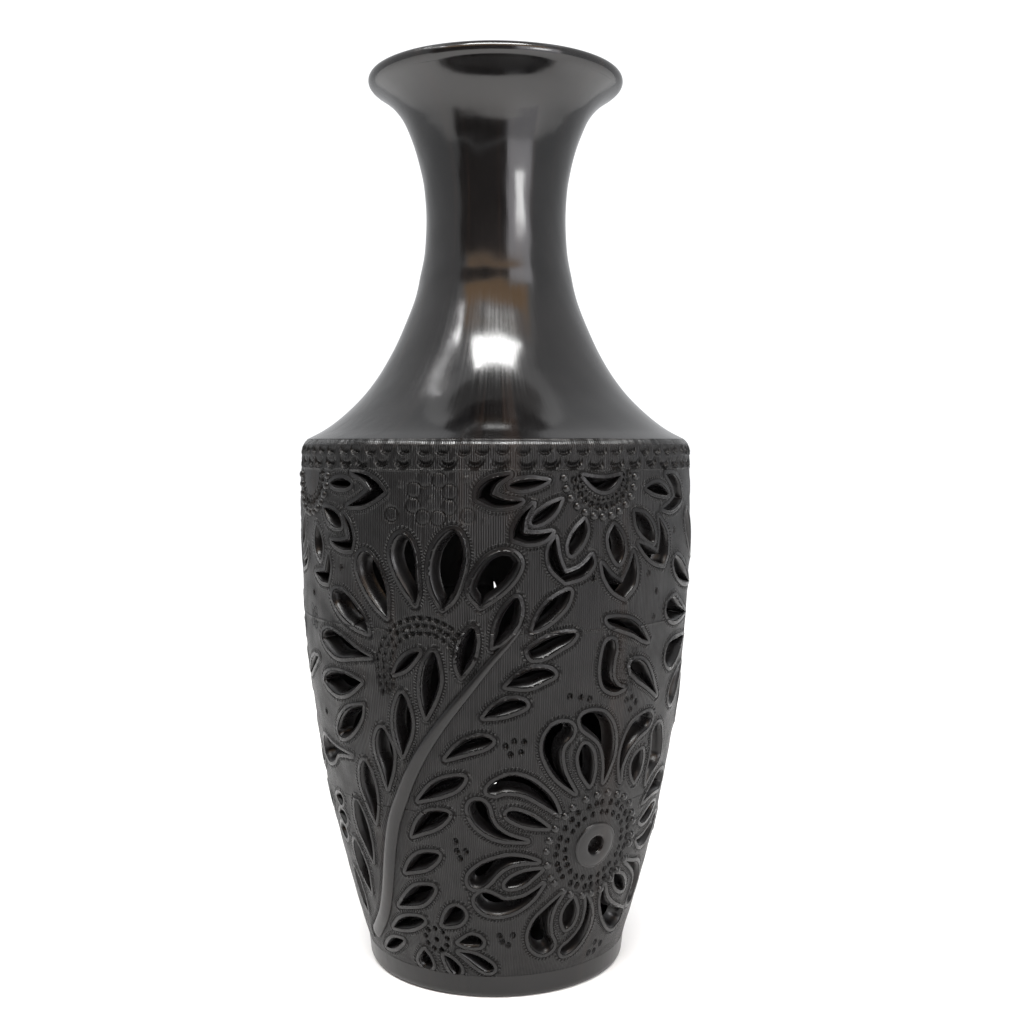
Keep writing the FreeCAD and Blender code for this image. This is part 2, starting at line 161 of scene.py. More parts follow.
# ---------------------------------------------------------------- the front panel, (degrees, z)
# The outlines were read off a flattened view of the photograph.
LOBE = dict(bevel=1.5, depth=2.6, lip=0.8)
GAP = dict(bevel=1.0, depth=2.2, lip=0.5)
SUN = dict(bevel=2.2, depth=3.4, lip=0.9)
SUN_TALL = dict(bevel=2.4, depth=3.6, lip=0.9)
SUN_SIDE = dict(bevel=2.0, depth=3.4, lip=0.9)
TIP = dict(bevel=2.2, depth=3.4, lip=0.8)
SPRIG = dict(bevel=2.0, depth=3.2, lip=0.8)
EYE = dict(bevel=1.1, depth=2.2, lip=0.5)
LEAF = dict(bevel=1.6, depth=2.8, lip=0.8)
panel = [
    # big flower: two lobes and an inner leaf to a petal
    traced((24.0, 115.4), (18.2, 123.4), (15.0, 131.0), (13.2, 139.0), (13.4, 146.0), (15.3, 151.7),
           (18.1, 153.9), (21.0, 152.8), (22.1, 149.6), (21.4, 145.6), (19.4, 142.0), (18.7, 136.5),
           (19.6, 128.8), (21.6, 121.8), **LOBE),
    traced((33.6, 119.2), (33.5, 126.7), (32.7, 133.7), (31.0, 140.6), (28.1, 145.3), (24.9, 149.6),
           (23.9, 154.4), (25.1, 157.3), (28.1, 158.2), (31.9, 156.2), (35.1, 149.5), (36.7, 139.8),
           (36.4, 131.9), (35.0, 124.6), **LOBE),
    traced((28.8, 118.2), (25.7, 125.4), (24.3, 132.8), (24.7, 138.4), (25.9, 141.2), (27.8, 139.0),
           (29.2, 134.6), (29.9, 127.5), (29.5, 121.6), **EYE),
    traced((19.3, 104.7), (17.2, 112.4), (14.4, 118.4), (9.9, 124.7), (5.0, 127.5), (1.0, 125.6),
           (-2.0, 121.8), (-2.6, 118.3), (-0.4, 117.0), (3.0, 118.4), (8.2, 116.8), (13.0, 112.0), **LOBE),
    traced((9.6, 91.2), (5.8, 93.4), (2.9, 95.6), (0.0, 99.6), (-1.6, 104.6), (-2.4, 110.0), (-4.2, 113.6),
           (-7.2, 113.2), (-8.3, 108.6), (-6.8, 101.4), (-3.2, 95.8), (2.0, 92.2), **LOBE),
    traced((16.2, 97.6), (10.4, 98.9), (5.8, 101.8), (3.2, 105.2), (3.6, 107.8), (6.4, 108.0),
           (10.6, 105.0), (13.8, 101.0), **EYE),
    traced((13.5, 79.2), (8.6, 79.5), (4.0, 77.8), (0.5, 73.8), (-2.4, 68.2), (-5.4, 65.0), (-8.0, 65.2),
           (-9.3, 68.2), (-8.5, 73.2), (-5.2, 78.2), (-1.0, 81.3), (3.6, 83.1), (8.8, 82.2), **LOBE),
    traced((15.8, 66.2), (12.2, 62.2), (8.4, 59.3), (3.2, 58.4), (0.0, 60.8), (-2.8, 62.8), (-5.2, 62.6),
           (-7.2, 59.0), (-6.7, 54.6), (-4.0, 50.8), (0.2, 49.2), (4.6, 50.4), (9.2, 53.8), (12.9, 59.0),
           **LOBE),
    traced((14.9, 74.6), (9.8, 74.0), (5.4, 71.4), (3.0, 67.6), (3.6, 65.2), (6.4, 65.2), (9.6, 67.0),
           (12.4, 70.8), **EYE),
    traced((23.1, 59.2), (17.7, 52.2), (13.6, 45.4), (11.9, 37.4), (13.0, 30.0), (16.1, 25.4),
           (19.6, 24.5), (22.0, 26.8), (22.2, 30.6), (20.4, 35.8), (19.5, 43.3), (20.3, 51.2), **LOBE),
    traced((33.2, 55.4), (36.0, 49.0), (37.9, 41.6), (37.4, 34.4), (35.0, 26.9), (31.0, 22.2),
           (27.6, 21.4), (25.8, 23.9), (26.2, 26.9), (28.6, 29.2), (31.9, 33.7), (34.0, 39.8),
           (34.4, 47.6), **LOBE),
    traced((28.0, 55.3), (25.6, 51.4), (24.4, 46.8), (24.9, 41.6), (26.6, 37.4), (28.6, 38.6),
           (29.9, 42.6), (30.0, 48.6), **EYE),
    traced((41.4, 58.4), (43.4, 51.8), (46.8, 46.2), (51.5, 41.8), (56.1, 38.7), (59.2, 36.6),
           (59.8, 32.8), (58.2, 29.4), (54.4, 27.5), (49.7, 30.2), (45.0, 37.2), (41.9, 45.1),
           (40.7, 51.4), **LOBE),
    traced((50.9, 68.7), (56.0, 65.9), (61.6, 63.4), (67.0, 56.6), (69.8, 47.8), (69.0, 40.7),
           (65.5, 37.3), (61.8, 38.6), (61.0, 42.6), (62.3, 48.8), (61.2, 55.8), (57.0, 62.0), **LOBE),
    traced((45.9, 63.0), (50.6, 60.6), (54.0, 56.0), (55.3, 50.2), (51.6, 51.2), (48.2, 54.8),
           (46.4, 59.0), **EYE),
    traced((54.6, 100.6), (58.0, 106.8), (62.4, 112.6), (66.6, 114.2), (70.4, 111.6), (71.6, 106.8),
           (69.6, 102.6), (65.4, 102.8), (60.6, 102.8), **LOBE),
    traced((55.2, 78.8), (60.0, 79.4), (65.0, 82.6), (69.4, 87.2), (72.4, 86.6), (72.6, 81.0),
           (69.0, 75.4), (63.6, 72.8), (58.6, 74.2), **LOBE),
    traced((55.0, 89.6), (58.6, 93.6), (63.0, 96.2), (67.0, 95.4), (65.6, 91.0), (61.4, 87.8),
           (57.8, 87.2), **EYE),
    traced((40.6, 117.6), (40.3, 124.0), (41.4, 130.0), (43.6, 135.6), (47.0, 140.2), (51.2, 143.4),
           (52.8, 148.4), (51.0, 152.0), (46.4, 151.6), (42.2, 146.6), (39.8, 138.4), (39.2, 127.6),
           **LOBE),
    traced((54.4, 111.6), (54.2, 118.6), (54.8, 126.4), (54.6, 134.0), (54.2, 140.0), (56.4, 144.0),
           (59.4, 142.4), (62.0, 134.8), (63.6, 125.2), (61.6, 119.8), (58.0, 116.6), **LOBE),
    traced((47.6, 114.6), (45.4, 120.0), (45.0, 126.2), (47.2, 130.8), (49.6, 131.8), (50.6, 126.6),
           (50.0, 120.2), **EYE),
    # leaves to the left of the stem, foot to tip
    traced((-60.9, 34.8), (-59.8, 45.6), (-60.6, 54.2), (-63.4, 60.0), (-64.6, 54.0), (-64.6, 47.0),
           (-63.2, 39.4), **LEAF),
    traced((-53.0, 49.8), (-51.5, 62.0), (-53.0, 72.3), (-56.2, 79.4), (-58.8, 72.8), (-58.2, 63.5),
           (-55.9, 56.0), **LEAF),
    traced((-46.7, 70.8), (-45.6, 82.0), (-46.7, 95.2), (-50.0, 104.4), (-52.2, 98.0), (-51.9, 87.4),
           (-49.4, 78.2), **LEAF),
    traced((-41.5, 94.7), (-39.5, 107.0), (-40.1, 120.4), (-42.8, 128.4), (-45.4, 123.0), (-46.0, 113.4),
           (-44.0, 103.0), **LEAF),
    traced((-34.4, 115.6), (-31.6, 127.4), (-31.0, 138.0), (-34.0, 148.4), (-36.8, 143.6), (-37.3, 134.2),
           (-35.8, 124.9), **LEAF),
    traced((-27.8, 134.6), (-24.6, 146.4), (-24.1, 157.4), (-26.6, 168.0), (-28.9, 161.4), (-30.0, 151.8),
           (-29.4, 142.0), **LEAF),
    traced((-19.6, 156.4), (-16.6, 166.4), (-15.0, 177.6), (-16.6, 190.4), (-19.4, 184.4), (-20.8, 174.8),
           (-20.8, 165.0), **LEAF),
    traced((-9.4, 178.2), (-6.2, 186.4), (-5.0, 196.4), (-6.0, 203.2), (-8.4, 199.4), (-10.2, 190.6),
           (-10.4, 183.4), **LEAF),
    traced((-28.8, 177.6), (-26.6, 184.4), (-24.0, 188.4), (-20.8, 190.2), (-22.6, 185.0), (-25.2, 180.4),
           bevel=1.2, depth=2.4, lip=0.6),
    traced((-0.8, 193.6), (0.0, 204.4), (2.4, 213.4), (5.4, 218.4), (6.4, 212.0), (5.2, 203.8),
           (2.4, 197.2), **LEAF),
    traced((9.4, 201.4), (11.0, 209.4), (14.0, 216.4), (19.4, 221.2), (18.8, 214.4), (15.8, 208.0),
           (12.6, 203.6), **LEAF),
    # leaves to the right of the stem, tip to foot
    traced((8.2, 191.4), (11.4, 196.0), (15.6, 199.2), (21.2, 199.6), (20.2, 195.4), (16.6, 191.6),
           (13.0, 188.0), (9.4, 187.4), **TIP),
    traced((2.6, 173.4), (5.6, 179.0), (9.6, 182.6), (14.0, 182.0), (15.8, 178.6), (12.6, 175.4),
           (8.4, 172.6), **TIP),
    traced((-3.4, 157.6), (-1.0, 162.8), (3.0, 166.8), (7.0, 166.4), (8.2, 163.2), (5.0, 160.2),
           (1.2, 158.2), **SPRIG),
    traced((-14.4, 135.4), (-11.6, 141.4), (-8.2, 145.8), (-3.6, 147.8), (-1.0, 145.4), (-3.0, 142.0),
           (-7.4, 139.4), **SPRIG),
    traced((-23.9, 111.6), (-19.5, 120.4), (-14.8, 125.0), (-9.2, 126.2), (-11.3, 119.8), (-16.6, 115.3),
           **LEAF),
    traced((-27.3, 91.4), (-24.9, 99.6), (-21.4, 105.5), (-17.8, 107.0), (-14.3, 106.0), (-15.5, 102.0),
           (-18.9, 97.3), (-23.4, 94.2), **LEAF),
    traced((-31.8, 70.0), (-28.9, 77.4), (-25.4, 81.8), (-21.9, 83.2), (-18.6, 82.8), (-19.9, 78.4),
           (-23.6, 73.8), (-28.3, 71.4), **LEAF),
    traced((-37.5, 48.4), (-33.6, 55.6), (-29.5, 61.6), (-25.4, 64.0), (-21.4, 63.4), (-22.8, 58.2),
           (-26.5, 52.8), (-31.8, 50.2), **LEAF),
    traced((-43.5, 33.2), (-39.4, 39.2), (-34.7, 43.0), (-29.5, 44.2), (-27.1, 42.8), (-28.9, 39.8),
           (-32.6, 36.6), (-37.8, 34.2), **LEAF),
    traced((-52.9, 17.6), (-48.8, 23.0), (-44.7, 26.4), (-39.5, 27.2), (-41.2, 24.2), (-45.6, 19.8),
           (-49.3, 17.8), bevel=1.2, depth=2.4, lip=0.8),
    # small flower at the foot and the leaf over it
    traced((-19.8, 42.0), (-18.8, 46.2), (-17.0, 51.4), (-14.4, 53.9), (-11.8, 52.4), (-11.0, 48.6),
           (-12.8, 44.2), (-16.0, 42.2), **LEAF),
    traced((-14.3, 32.2), (-11.9, 35.2), (-9.3, 37.5), (-6.9, 36.9), (-5.2, 34.6), (-5.6, 31.4),
           (-8.6, 30.2), (-11.9, 30.6), **LEAF),
    traced((-14.5, 26.7), (-9.2, 26.2), (-4.9, 23.6), (-1.4, 19.6), (-1.1, 16.1), (-3.6, 14.8),
           (-7.4, 17.8), (-11.0, 22.2), bevel=2.6, depth=3.4, lip=0.8),
    traced((-21.0, 23.8), (-17.6, 21.8), (-14.9, 17.9), (-14.5, 14.2), (-16.6, 11.8), (-18.9, 13.6),
           (-20.4, 18.4), **LEAF),
    traced((-29.5, 24.6), (-27.3, 20.5), (-26.7, 16.1), (-28.3, 13.1), (-31.6, 12.9), (-33.3, 16.1),
           (-31.9, 20.4), **LEAF),
    # curled leaf
    traced((46.8, 191.2), (43.6, 198.4), (39.8, 203.4), (35.2, 205.6), (31.0, 205.6), (31.8, 202.6),
           (35.4, 199.6), (40.2, 196.4), (44.2, 192.6), bevel=2.4, depth=3.2, lip=0.7, hatch=1.0),
    traced((38.2, 168.2), (34.8, 166.8), (31.0, 170.2), (29.6, 178.0), (29.8, 187.0), (31.0, 193.6),
           (33.2, 194.4), (34.3, 190.0), (33.6, 183.0), (33.6, 175.6), (35.4, 170.4), bevel=1.8, depth=3.0,
           lip=0.6),
    traced((53.6, 160.6), (48.6, 166.2), (43.4, 171.8), (40.2, 177.4), (40.4, 181.6), (43.4, 182.4),
           (46.8, 179.0), (50.2, 171.2), bevel=2.2, depth=3.0, lip=0.6),
    # sunflower behind the spray
    traced((-4.0, 213.5), (-7.0, 221.0), (-5.8, 229.4), (-2.6, 237.6), (1.0, 241.2), (4.6, 240.4),
           (6.4, 235.4), (5.0, 228.2), (1.4, 220.6), **SUN_TALL),
    traced((-14.0, 212.0), (-16.6, 221.0), (-17.6, 232.0), (-16.2, 243.0), (-13.0, 250.6), (-10.4, 252.0),
           (-8.4, 247.4), (-7.6, 238.0), (-9.0, 226.0), (-11.0, 217.4), **SUN_TALL),
    traced((-21.4, 214.0), (-24.6, 221.6), (-27.4, 230.4), (-28.6, 239.0), (-27.4, 246.6), (-25.0, 249.4),
           (-22.6, 246.8), (-21.0, 239.0), (-20.6, 228.0), (-20.4, 220.4), **SUN_TALL),
    traced((-30.0, 206.6), (-33.4, 211.4), (-37.0, 219.4), (-39.6, 228.4), (-39.6, 236.0), (-37.4, 239.6),
           (-34.6, 237.4), (-31.6, 229.6), (-29.8, 219.4), **SUN),
    traced((-36.6, 197.4), (-42.0, 199.8), (-47.0, 204.6), (-50.4, 210.8), (-50.8, 216.4), (-48.4, 218.6),
           (-44.6, 216.8), (-40.6, 210.8), (-37.6, 204.0), **SUN_SIDE),
    traced((-36.4, 185.2), (-42.8, 183.6), (-49.8, 182.0), (-55.4, 185.4), (-58.6, 190.0), (-57.6, 194.4),
           (-53.4, 196.4), (-47.6, 194.0), (-41.4, 188.6), **SUN_SIDE),
    traced((-40.4, 171.2), (-45.8, 164.2), (-51.6, 161.4), (-57.0, 163.6), (-60.0, 167.4), (-57.6, 171.6),
           (-52.8, 174.2), (-47.0, 174.2), **SUN_SIDE),
    traced((-40.6, 159.0), (-41.6, 152.6), (-45.0, 144.8), (-49.6, 139.2), (-53.6, 138.0), (-54.8, 142.0),
           (-52.0, 149.4), (-47.0, 156.0), **SUN_SIDE),
    # bits at the left edge
    traced((-48.6, 129.2), (-53.0, 128.6), (-57.4, 126.8), (-61.0, 121.8), (-66.2, 119.8), (-69.4, 123.6),
           (-69.4, 129.6), (-66.2, 134.6), (-62.4, 132.8), (-57.4, 130.8), bevel=1.6, depth=2.8, lip=0.8),
    traced((-65.6, 100.4), (-62.8, 102.8), (-60.2, 102.4), (-59.8, 99.4), (-61.9, 96.2), (-64.2, 97.8),
           **EYE),
    traced((-66.2, 90.6), (-63.6, 93.6), (-60.6, 93.0), (-59.4, 89.6), (-61.6, 85.6), (-64.2, 87.6), **EYE),
    traced((-68.6, 80.6), (-66.2, 84.6), (-63.0, 83.8), (-61.9, 80.0), (-64.4, 75.8), (-67.2, 77.6), **EYE),
]
# hanging half flower about (0, z 279): the smile, then leaf and gap of each petal, as seen at turn 29
hanging = [
    traced((-5.8, 278.0), (0.0, 276.6), (5.9, 278.0), (5.9, 278.0), (3.6, 272.6), (0.6, 270.2),
           (-2.6, 272.2), bevel=1.2, depth=2.4, lip=0.5, hatch=0.6),
    traced((-15.6, 275.8), (-20.0, 276.8), (-24.0, 275.8), (-25.6, 273.2), (-22.6, 271.4), (-18.6, 273.0),
           **EYE),
    traced((-12.0, 266.4), (-14.0, 259.6), (-17.2, 255.2), (-19.8, 254.6), (-18.8, 259.0), (-15.6, 263.6),
           **EYE),
    traced((-5.4, 256.4), (-4.8, 250.4), (-6.2, 244.0), (-9.2, 238.8), (-10.0, 243.6), (-8.4, 250.6),
           **EYE),
    traced((3.6, 253.4), (1.8, 247.6), (2.4, 240.4), (5.0, 233.4), (7.0, 237.4), (7.0, 244.4),
           (5.6, 249.8), **EYE),
    traced((10.8, 259.4), (11.4, 252.6), (13.8, 247.0), (18.4, 242.6), (19.2, 247.6), (17.6, 253.6),
           (14.4, 258.0), **EYE),
    traced((15.4, 271.2), (18.6, 268.6), (22.6, 267.2), (26.2, 267.0), (24.8, 270.8), (21.6, 273.4),
           (18.4, 273.4), **EYE),
    # gaps
    traced((-25.4, 279.0), (-30.4, 277.0), (-33.6, 272.0), (-34.0, 266.8), (-34.0, 266.8), (-29.4, 262.8),
           (-24.6, 263.6), (-22.4, 265.8), (-22.4, 265.8), (-26.4, 266.8), (-30.0, 269.4), (-30.0, 269.4),
           (-28.6, 274.4), **GAP),
    traced((-19.4, 264.4), (-22.4, 259.0), (-24.4, 252.6), (-24.6, 247.2), (-24.6, 247.2), (-20.6, 245.0),
           (-16.6, 246.6), (-14.4, 250.6), (-14.4, 250.6), (-18.4, 249.8), (-22.0, 250.2), (-22.0, 250.2),
           (-21.4, 257.6), **GAP),
    traced((-13.6, 247.8), (-15.4, 241.4), (-14.6, 232.6), (-10.8, 225.4), (-10.8, 225.4), (-5.6, 228.0),
           (-2.8, 233.6), (-3.2, 238.4), (-3.2, 238.4), (-6.4, 232.8), (-10.8, 229.6), (-10.8, 229.6),
           (-12.6, 237.6), **GAP),
    traced((-0.2, 233.8), (0.8, 226.8), (3.6, 219.6), (7.6, 215.4), (7.6, 215.4), (11.0, 221.4),
           (11.8, 229.4), (10.4, 238.6), (10.4, 238.6), (9.0, 231.6), (6.4, 223.4), (6.4, 223.4),
           (2.8, 227.6), **GAP),
    traced((12.2, 243.4), (15.2, 237.0), (19.2, 232.4), (24.2, 230.2), (24.2, 230.2), (26.0, 236.8),
           (25.4, 247.4), (21.0, 256.0), (21.0, 256.0), (21.8, 247.4), (20.8, 237.0), (20.8, 237.0),
           (16.8, 240.2), **GAP),
    traced((24.8, 278.2), (30.4, 277.6), (34.4, 272.6), (36.2, 264.8), (36.2, 264.8), (33.0, 261.0),
           (27.6, 258.6), (23.0, 260.0), (23.0, 260.0), (26.8, 262.6), (30.2, 266.2), (30.2, 266.2),
           (28.4, 272.2), **GAP),
]


def petal_ring(turn, z, near, far, width, angles, **how):
    out = []
    for ang in angles:
        k = far - near
        out.append(traced(polar(turn, z, ang, near), polar(turn, z, ang, near + 0.35 * k, 0.33 * width),
                          polar(turn, z, ang, near + 0.68 * k, 0.5 * width),
                          polar(turn, z, ang, far - 0.06 * k, 0.30 * width),
                          polar(turn, z, ang, far), polar(turn, z, ang, far - 0.06 * k, -0.30 * width),
                          polar(turn, z, ang, near + 0.68 * k, -0.5 * width),
                          polar(turn, z, ang, near + 0.35 * k, -0.33 * width), **how))
    return out


left_hanging = [
    traced((-51.4, 273.7), (-48.8, 275.7), (-45.3, 276.3), (-42.2, 273.8), (-43.6, 271.5), (-47.0, 271.0),
           (-49.9, 271.9), **EYE),
    traced((-41.9, 279.6), (-37.1, 278.7), (-33.0, 275.0), (-30.4, 269.8), (-30.4, 269.8), (-34.1, 265.4),
           (-38.2, 262.4), (-43.5, 262.1), (-43.5, 262.1), (-39.6, 265.6), (-35.2, 271.0), (-35.2, 271.0),
           (-37.6, 275.8), **GAP),
    traced((-54.6, 260.6), (-50.5, 260.2), (-47.0, 257.0), (-45.9, 251.4), (-49.2, 250.8), (-52.6, 254.2),
           **LEAF),
    traced((-45.2, 258.4), (-42.4, 252.6), (-41.3, 245.6), (-41.9, 239.6), (-41.9, 239.6), (-45.3, 239.4),
           (-48.8, 241.2), (-50.6, 243.6), (-50.6, 243.6), (-47.2, 243.6), (-43.2, 245.0), (-43.2, 245.0),
           (-43.6, 251.0), **GAP),
    traced((-59.4, 251.2), (-56.6, 246.2), (-55.4, 239.6), (-56.8, 232.6), (-59.6, 236.2), (-60.6, 243.6),
           **EYE),
    traced((-52.4, 237.0), (-51.4, 229.6), (-53.1, 220.8), (-53.1, 220.8), (-57.4, 221.4), (-60.8, 225.4),
           (-60.8, 225.4), (-57.0, 226.4), (-54.6, 227.0), (-54.6, 227.0), (-53.6, 231.4), **GAP),
    traced((-68.0, 249.6), (-66.0, 241.6), (-67.0, 231.0), (-69.4, 236.0), (-70.0, 243.6), **EYE),
    traced((-62.4, 179.2), (-66.4, 178.8), (-71.0, 175.0), (-76.0, 167.4), (-73.0, 167.2), (-68.6, 171.6),
           (-64.8, 176.0), **LEAF),
]
right_sun = [
    traced((73.8, 200.9), (67.3, 199.2), (61.4, 198.4), (57.3, 200.9), (55.3, 205.4), (56.3, 209.8),
           (60.4, 212.4), (64.9, 208.4), (69.6, 204.0), **SUN),
    traced((73.8, 187.8), (67.4, 188.8), (61.4, 188.6), (57.9, 185.9), (56.7, 180.2), (58.4, 175.2),
           (62.0, 173.5), (66.7, 177.2), (70.2, 182.4), **SUN),
    traced((73.4, 172.6), (69.0, 170.6), (64.9, 166.4), (62.6, 160.6), (62.6, 155.2), (64.9, 151.8),
           (68.2, 153.4), (71.0, 160.4), (73.0, 166.8), **SUN),
    traced((77.6, 216.9), (70.2, 217.6), (64.3, 220.2), (60.0, 225.6), (58.7, 231.6), (60.6, 234.4),
           (65.0, 231.6), (71.2, 224.8), **SUN),
    traced((82.6, 230.6), (77.0, 233.6), (72.4, 239.6), (68.6, 247.4), (67.2, 254.8), (69.6, 258.4),
           (73.0, 255.0), (77.6, 245.6), **SUN),
]
BACK = 187.0             # the same panel again, round the back
for turn in (0.0, BACK):
    holes += [turned(turn, h) for h in panel]
for turn in HANGING_TURNS[:3]:
    holes += [turned(turn, h) for h in hanging]
for h in hanging:
    if h.o[:, 0].mean() < -0.12:
        holes.append(turned(HANGING_TURNS[3], h))
holes += left_hanging + right_sun
holes += petal_ring(94.0, 196.0, 38.0, 64.0, 14.0, [-66, -43, -20, 3, 26, 49, 72, 95, 246, 270], **SUN)
holes += petal_ring(101.0, 84.0, 15.0, 36.0, 10.0, [45.0 * i + 10 for i in range(8)], **LEAF)
holes += petal_ring(268.0, 182.0, 12.0, 30.0, 8.0, [45.0 * i + 22.5 for i in range(8)], **LEAF)
holes += petal_ring(273.0, 108.0, 12.0, 30.0, 8.0, [60.0 * i + 30.0 for i in range(6)], **LEAF)
for turn in (0.0, BACK):
    around = np.arange(36) * np.pi / 18
    heart = [math.radians(turn + HEART_TURN) + 5.0 * np.cos(around) / radius_at(HEART_Z),
             HEART_Z + 5.0 * np.sin(around)]
    holes.append(Hole(np.stack(heart, 1), 0.6, 1.4, 0.3, 0.0))

# ---------------------------------------------------------------- keep the openings clear of each other
def wrap(a):
    return (a + math.pi) % (2 * math.pi) - math.pi


def to_mm(o, about):
    """(radians, z) to mm on the flat, about a point."""
    r = radius_at(about[1])
    return np.stack([wrap(o[:, 0] - about[0]) * r, o[:, 1] - about[1]], 1)


def seg_dist(p, poly, closed=True):
    """Distance from points to a polyline, which way along it, and which side."""
    a = poly
    b = np.roll(poly, -1, 0) if closed else poly[1:]
    if not closed:
        a = poly[:-1]
    ab = b - a
    ll = (ab ** 2).sum(1) + 1e-12
    run = np.concatenate([[0.0], np.cumsum(np.sqrt(ll))])
    ap = p[:, None, :] - a[None]
    t = np.clip((ap * ab[None]).sum(2) / ll, 0, 1)
    near = ap - t[..., None] * ab[None]
    d2 = (near ** 2).sum(2)
    k = d2.argmin(1)
    i = np.arange(len(p))
    return np.sqrt(d2[i, k]), run[k] + t[i, k] * np.sqrt(ll[k]), run[-1], k, t[i, k]


def inside(p, poly):
    x, y = p[:, 0][:, None], p[:, 1][:, None]
    x0, y0 = poly[:, 0][None], poly[:, 1][None]
    x1, y1 = np.roll(poly[:, 0], -1)[None], np.roll(poly[:, 1], -1)[None]
    cross = (y0 > y) != (y1 > y)
    xi = x0 + (y - y0) * (x1 - x0) / np.where(y1 == y0, 1e-9, y1 - y0)
    return (cross & (x < xi)).sum(1) % 2 == 1


def seen_through(openings):
    """Numbers of the far openings that the camera sees through the near ones."""
    seen = set()
    middles = [h.o.mean(0) for h in openings]
    walk = np.arange(20.0, 260.0)[:, None]
    for h, mid in zip(openings, middles):
        if abs(wrap(mid[0])) > math.radians(80):
            continue
        # a grid of points over the near opening, drawn in a little from its rim
        low, high = h.o.min(0), h.o.max(0)
        grid = np.meshgrid(np.linspace(low[0], high[0], 14), np.linspace(low[1], high[1], 14))
        grid = np.stack(grid, -1).reshape(-1, 2)
        grid = mid + (grid[inside(grid, h.o)] - mid) * 0.75
        far = []
        for turn, z in grid:
            r = float(wall_r(z))
            start = np.array([r * math.sin(turn), -r * math.cos(turn), z])
            way = start - CAMERA
            way /= np.linalg.norm(way)
            path = start + way * walk
            wall = wall_r(np.clip(path[:, 2], 0, WALL_TOP)) - 4
            out = np.nonzero(np.hypot(path[:, 0], path[:, 1]) > wall)[0]
            if len(out) and 12 <= path[out[0], 2] <= 285:
                x, y, z = path[out[0]]
                far.append((math.atan2(x, -y), z))
        if not far:
            continue
        far = np.array(far)
        for n, (other, centre) in enumerate(zip(openings, middles)):
            place = np.stack([centre[0] + wrap(far[:, 0] - centre[0]), far[:, 1]], 1)
            near = (np.abs(wrap(centre[0] - far[:, 0])) <= 0.4) & (np.abs(centre[1] - far[:, 1]) <= 40)
            if n not in seen and near.any() and inside(place[near], centre
                                                       + (other.o - centre) * 0.8).any():
                seen.add(n)
    return seen


WALL = 8.0
SEAMS = [12.0, 105.0, 200.0, 281.0, 297.6]
JOINTS = SEAMS[1:4]

# Far openings end blind where white would show through the near ones. That suits one viewpoint, the camera's.
# Number 90 is left open, for a small white speck.
SPECK = 90
blind = seen_through(holes) - {SPECK}
kept = []
for number, h in enumerate(holes):
    h.blind = number in blind
    if h.blind and any(h.o[:, 1].min() < s < h.o[:, 1].max() for s in JOINTS):
        continue
    h.c = h.o.mean(0)
    h.c[0] = wrap(h.c[0])
    flatted = to_mm(h.o, h.c)
    area = 0.5 * (flatted[:, 0] * np.roll(flatted[:, 1], -1) - np.roll(flatted[:, 0],
                                                                       -1) * flatted[:, 1]).sum()
    if area < 0:
        h.o = h.o[::-1].copy()
    h.reach = np.abs(to_mm(h.o, h.c)).max()
    clear = True
    for g in kept:
        gap = math.hypot(wrap(h.c[0] - g.c[0]) * 100, h.c[1] - g.c[1])
        if gap > (h.reach + g.reach) * 1.5:
            continue
        d = seg_dist(to_mm(h.o, g.c), to_mm(g.o, g.c))[0]
        if d.min() < 1.7 or inside(to_mm(h.o, g.c), to_mm(g.o, g.c)).any():
            clear = False
            break
    if clear:
        kept.append(h)
holes = kept

# ---------------------------------------------------------------- the wall as a surface
# The outline of the wall: a height t up the side, going round the shoulder edge at the top.
EDGE = [(110.07, 290.0), (109.85, 291.9), (109.25, 293.7), (108.2, 295.3), (106.8, 296.6)]


def side_point(t):
    """Radius, height and outward slope of the outer face at t."""
    t = np.asarray(t, float)
    ts = np.array([290.0, 291.9, 293.8, 295.7, 297.6])
    r = np.where(t < 290.0, wall_r(np.minimum(t, 290.0)), np.interp(t, ts, [p[0] for p in EDGE]))
    z = np.where(t < 290.0, t, np.interp(t, ts, [p[1] for p in EDGE]))
    lean = np.where(t <= BELLY_Z, (BELLY_Z - t) / BELLY_ARC, (BELLY_Z - t) / UPPER_ARC)
    lean = np.where(t < 289.0, lean, np.interp(t, [289, 290, 292, 294, 296, 297.6],
                                               [-.03, -.06, -.22, -.45, -.75, -.95]))
    nr, nz = np.cos(lean), -np.sin(lean)
    return r, z, nr, nz


def inner_point(t):
    t = np.asarray(t, float)
    lean = np.where(t <= BELLY_Z, (BELLY_Z - t) / BELLY_ARC, (BELLY_Z - t) / UPPER_ARC)
    r = wall_r(np.minimum(t, 290.0)) - WALL * np.cos(lean)
    z = t + WALL * np.sin(lean)
    top = np.clip((t - 284.0) / (297.6 - 284.0), 0, 1)
    r = np.where(t > 284.0, r + (101.2 - r) * top ** 1.5, r)
    z = np.where(t > 284.0, 284.0 + (288.8 - 284.0) * top, z)
    return r, z


climb = np.linspace(SEAMS[0], SEAMS[-1], 2400)
climb_r = side_point(climb)[0]
climb_log = np.concatenate([[0.0], np.cumsum(np.diff(climb) / (0.5 * (climb_r[1:] + climb_r[:-1])))])


def ring_plane(theta, t):
    """The wall flattened into a flat ring that keeps its angles."""
    rho = 60.0 * np.exp(np.interp(t, climb, climb_log))
    return np.stack([rho * np.cos(theta), rho * np.sin(theta)], 1)


# ---------------------------------------------------------------- small marks on the wall
rng = np.random.default_rng(7)


def jit(k):
    """A small random shift, as a hand makes."""
    return float(rng.normal(0, k))


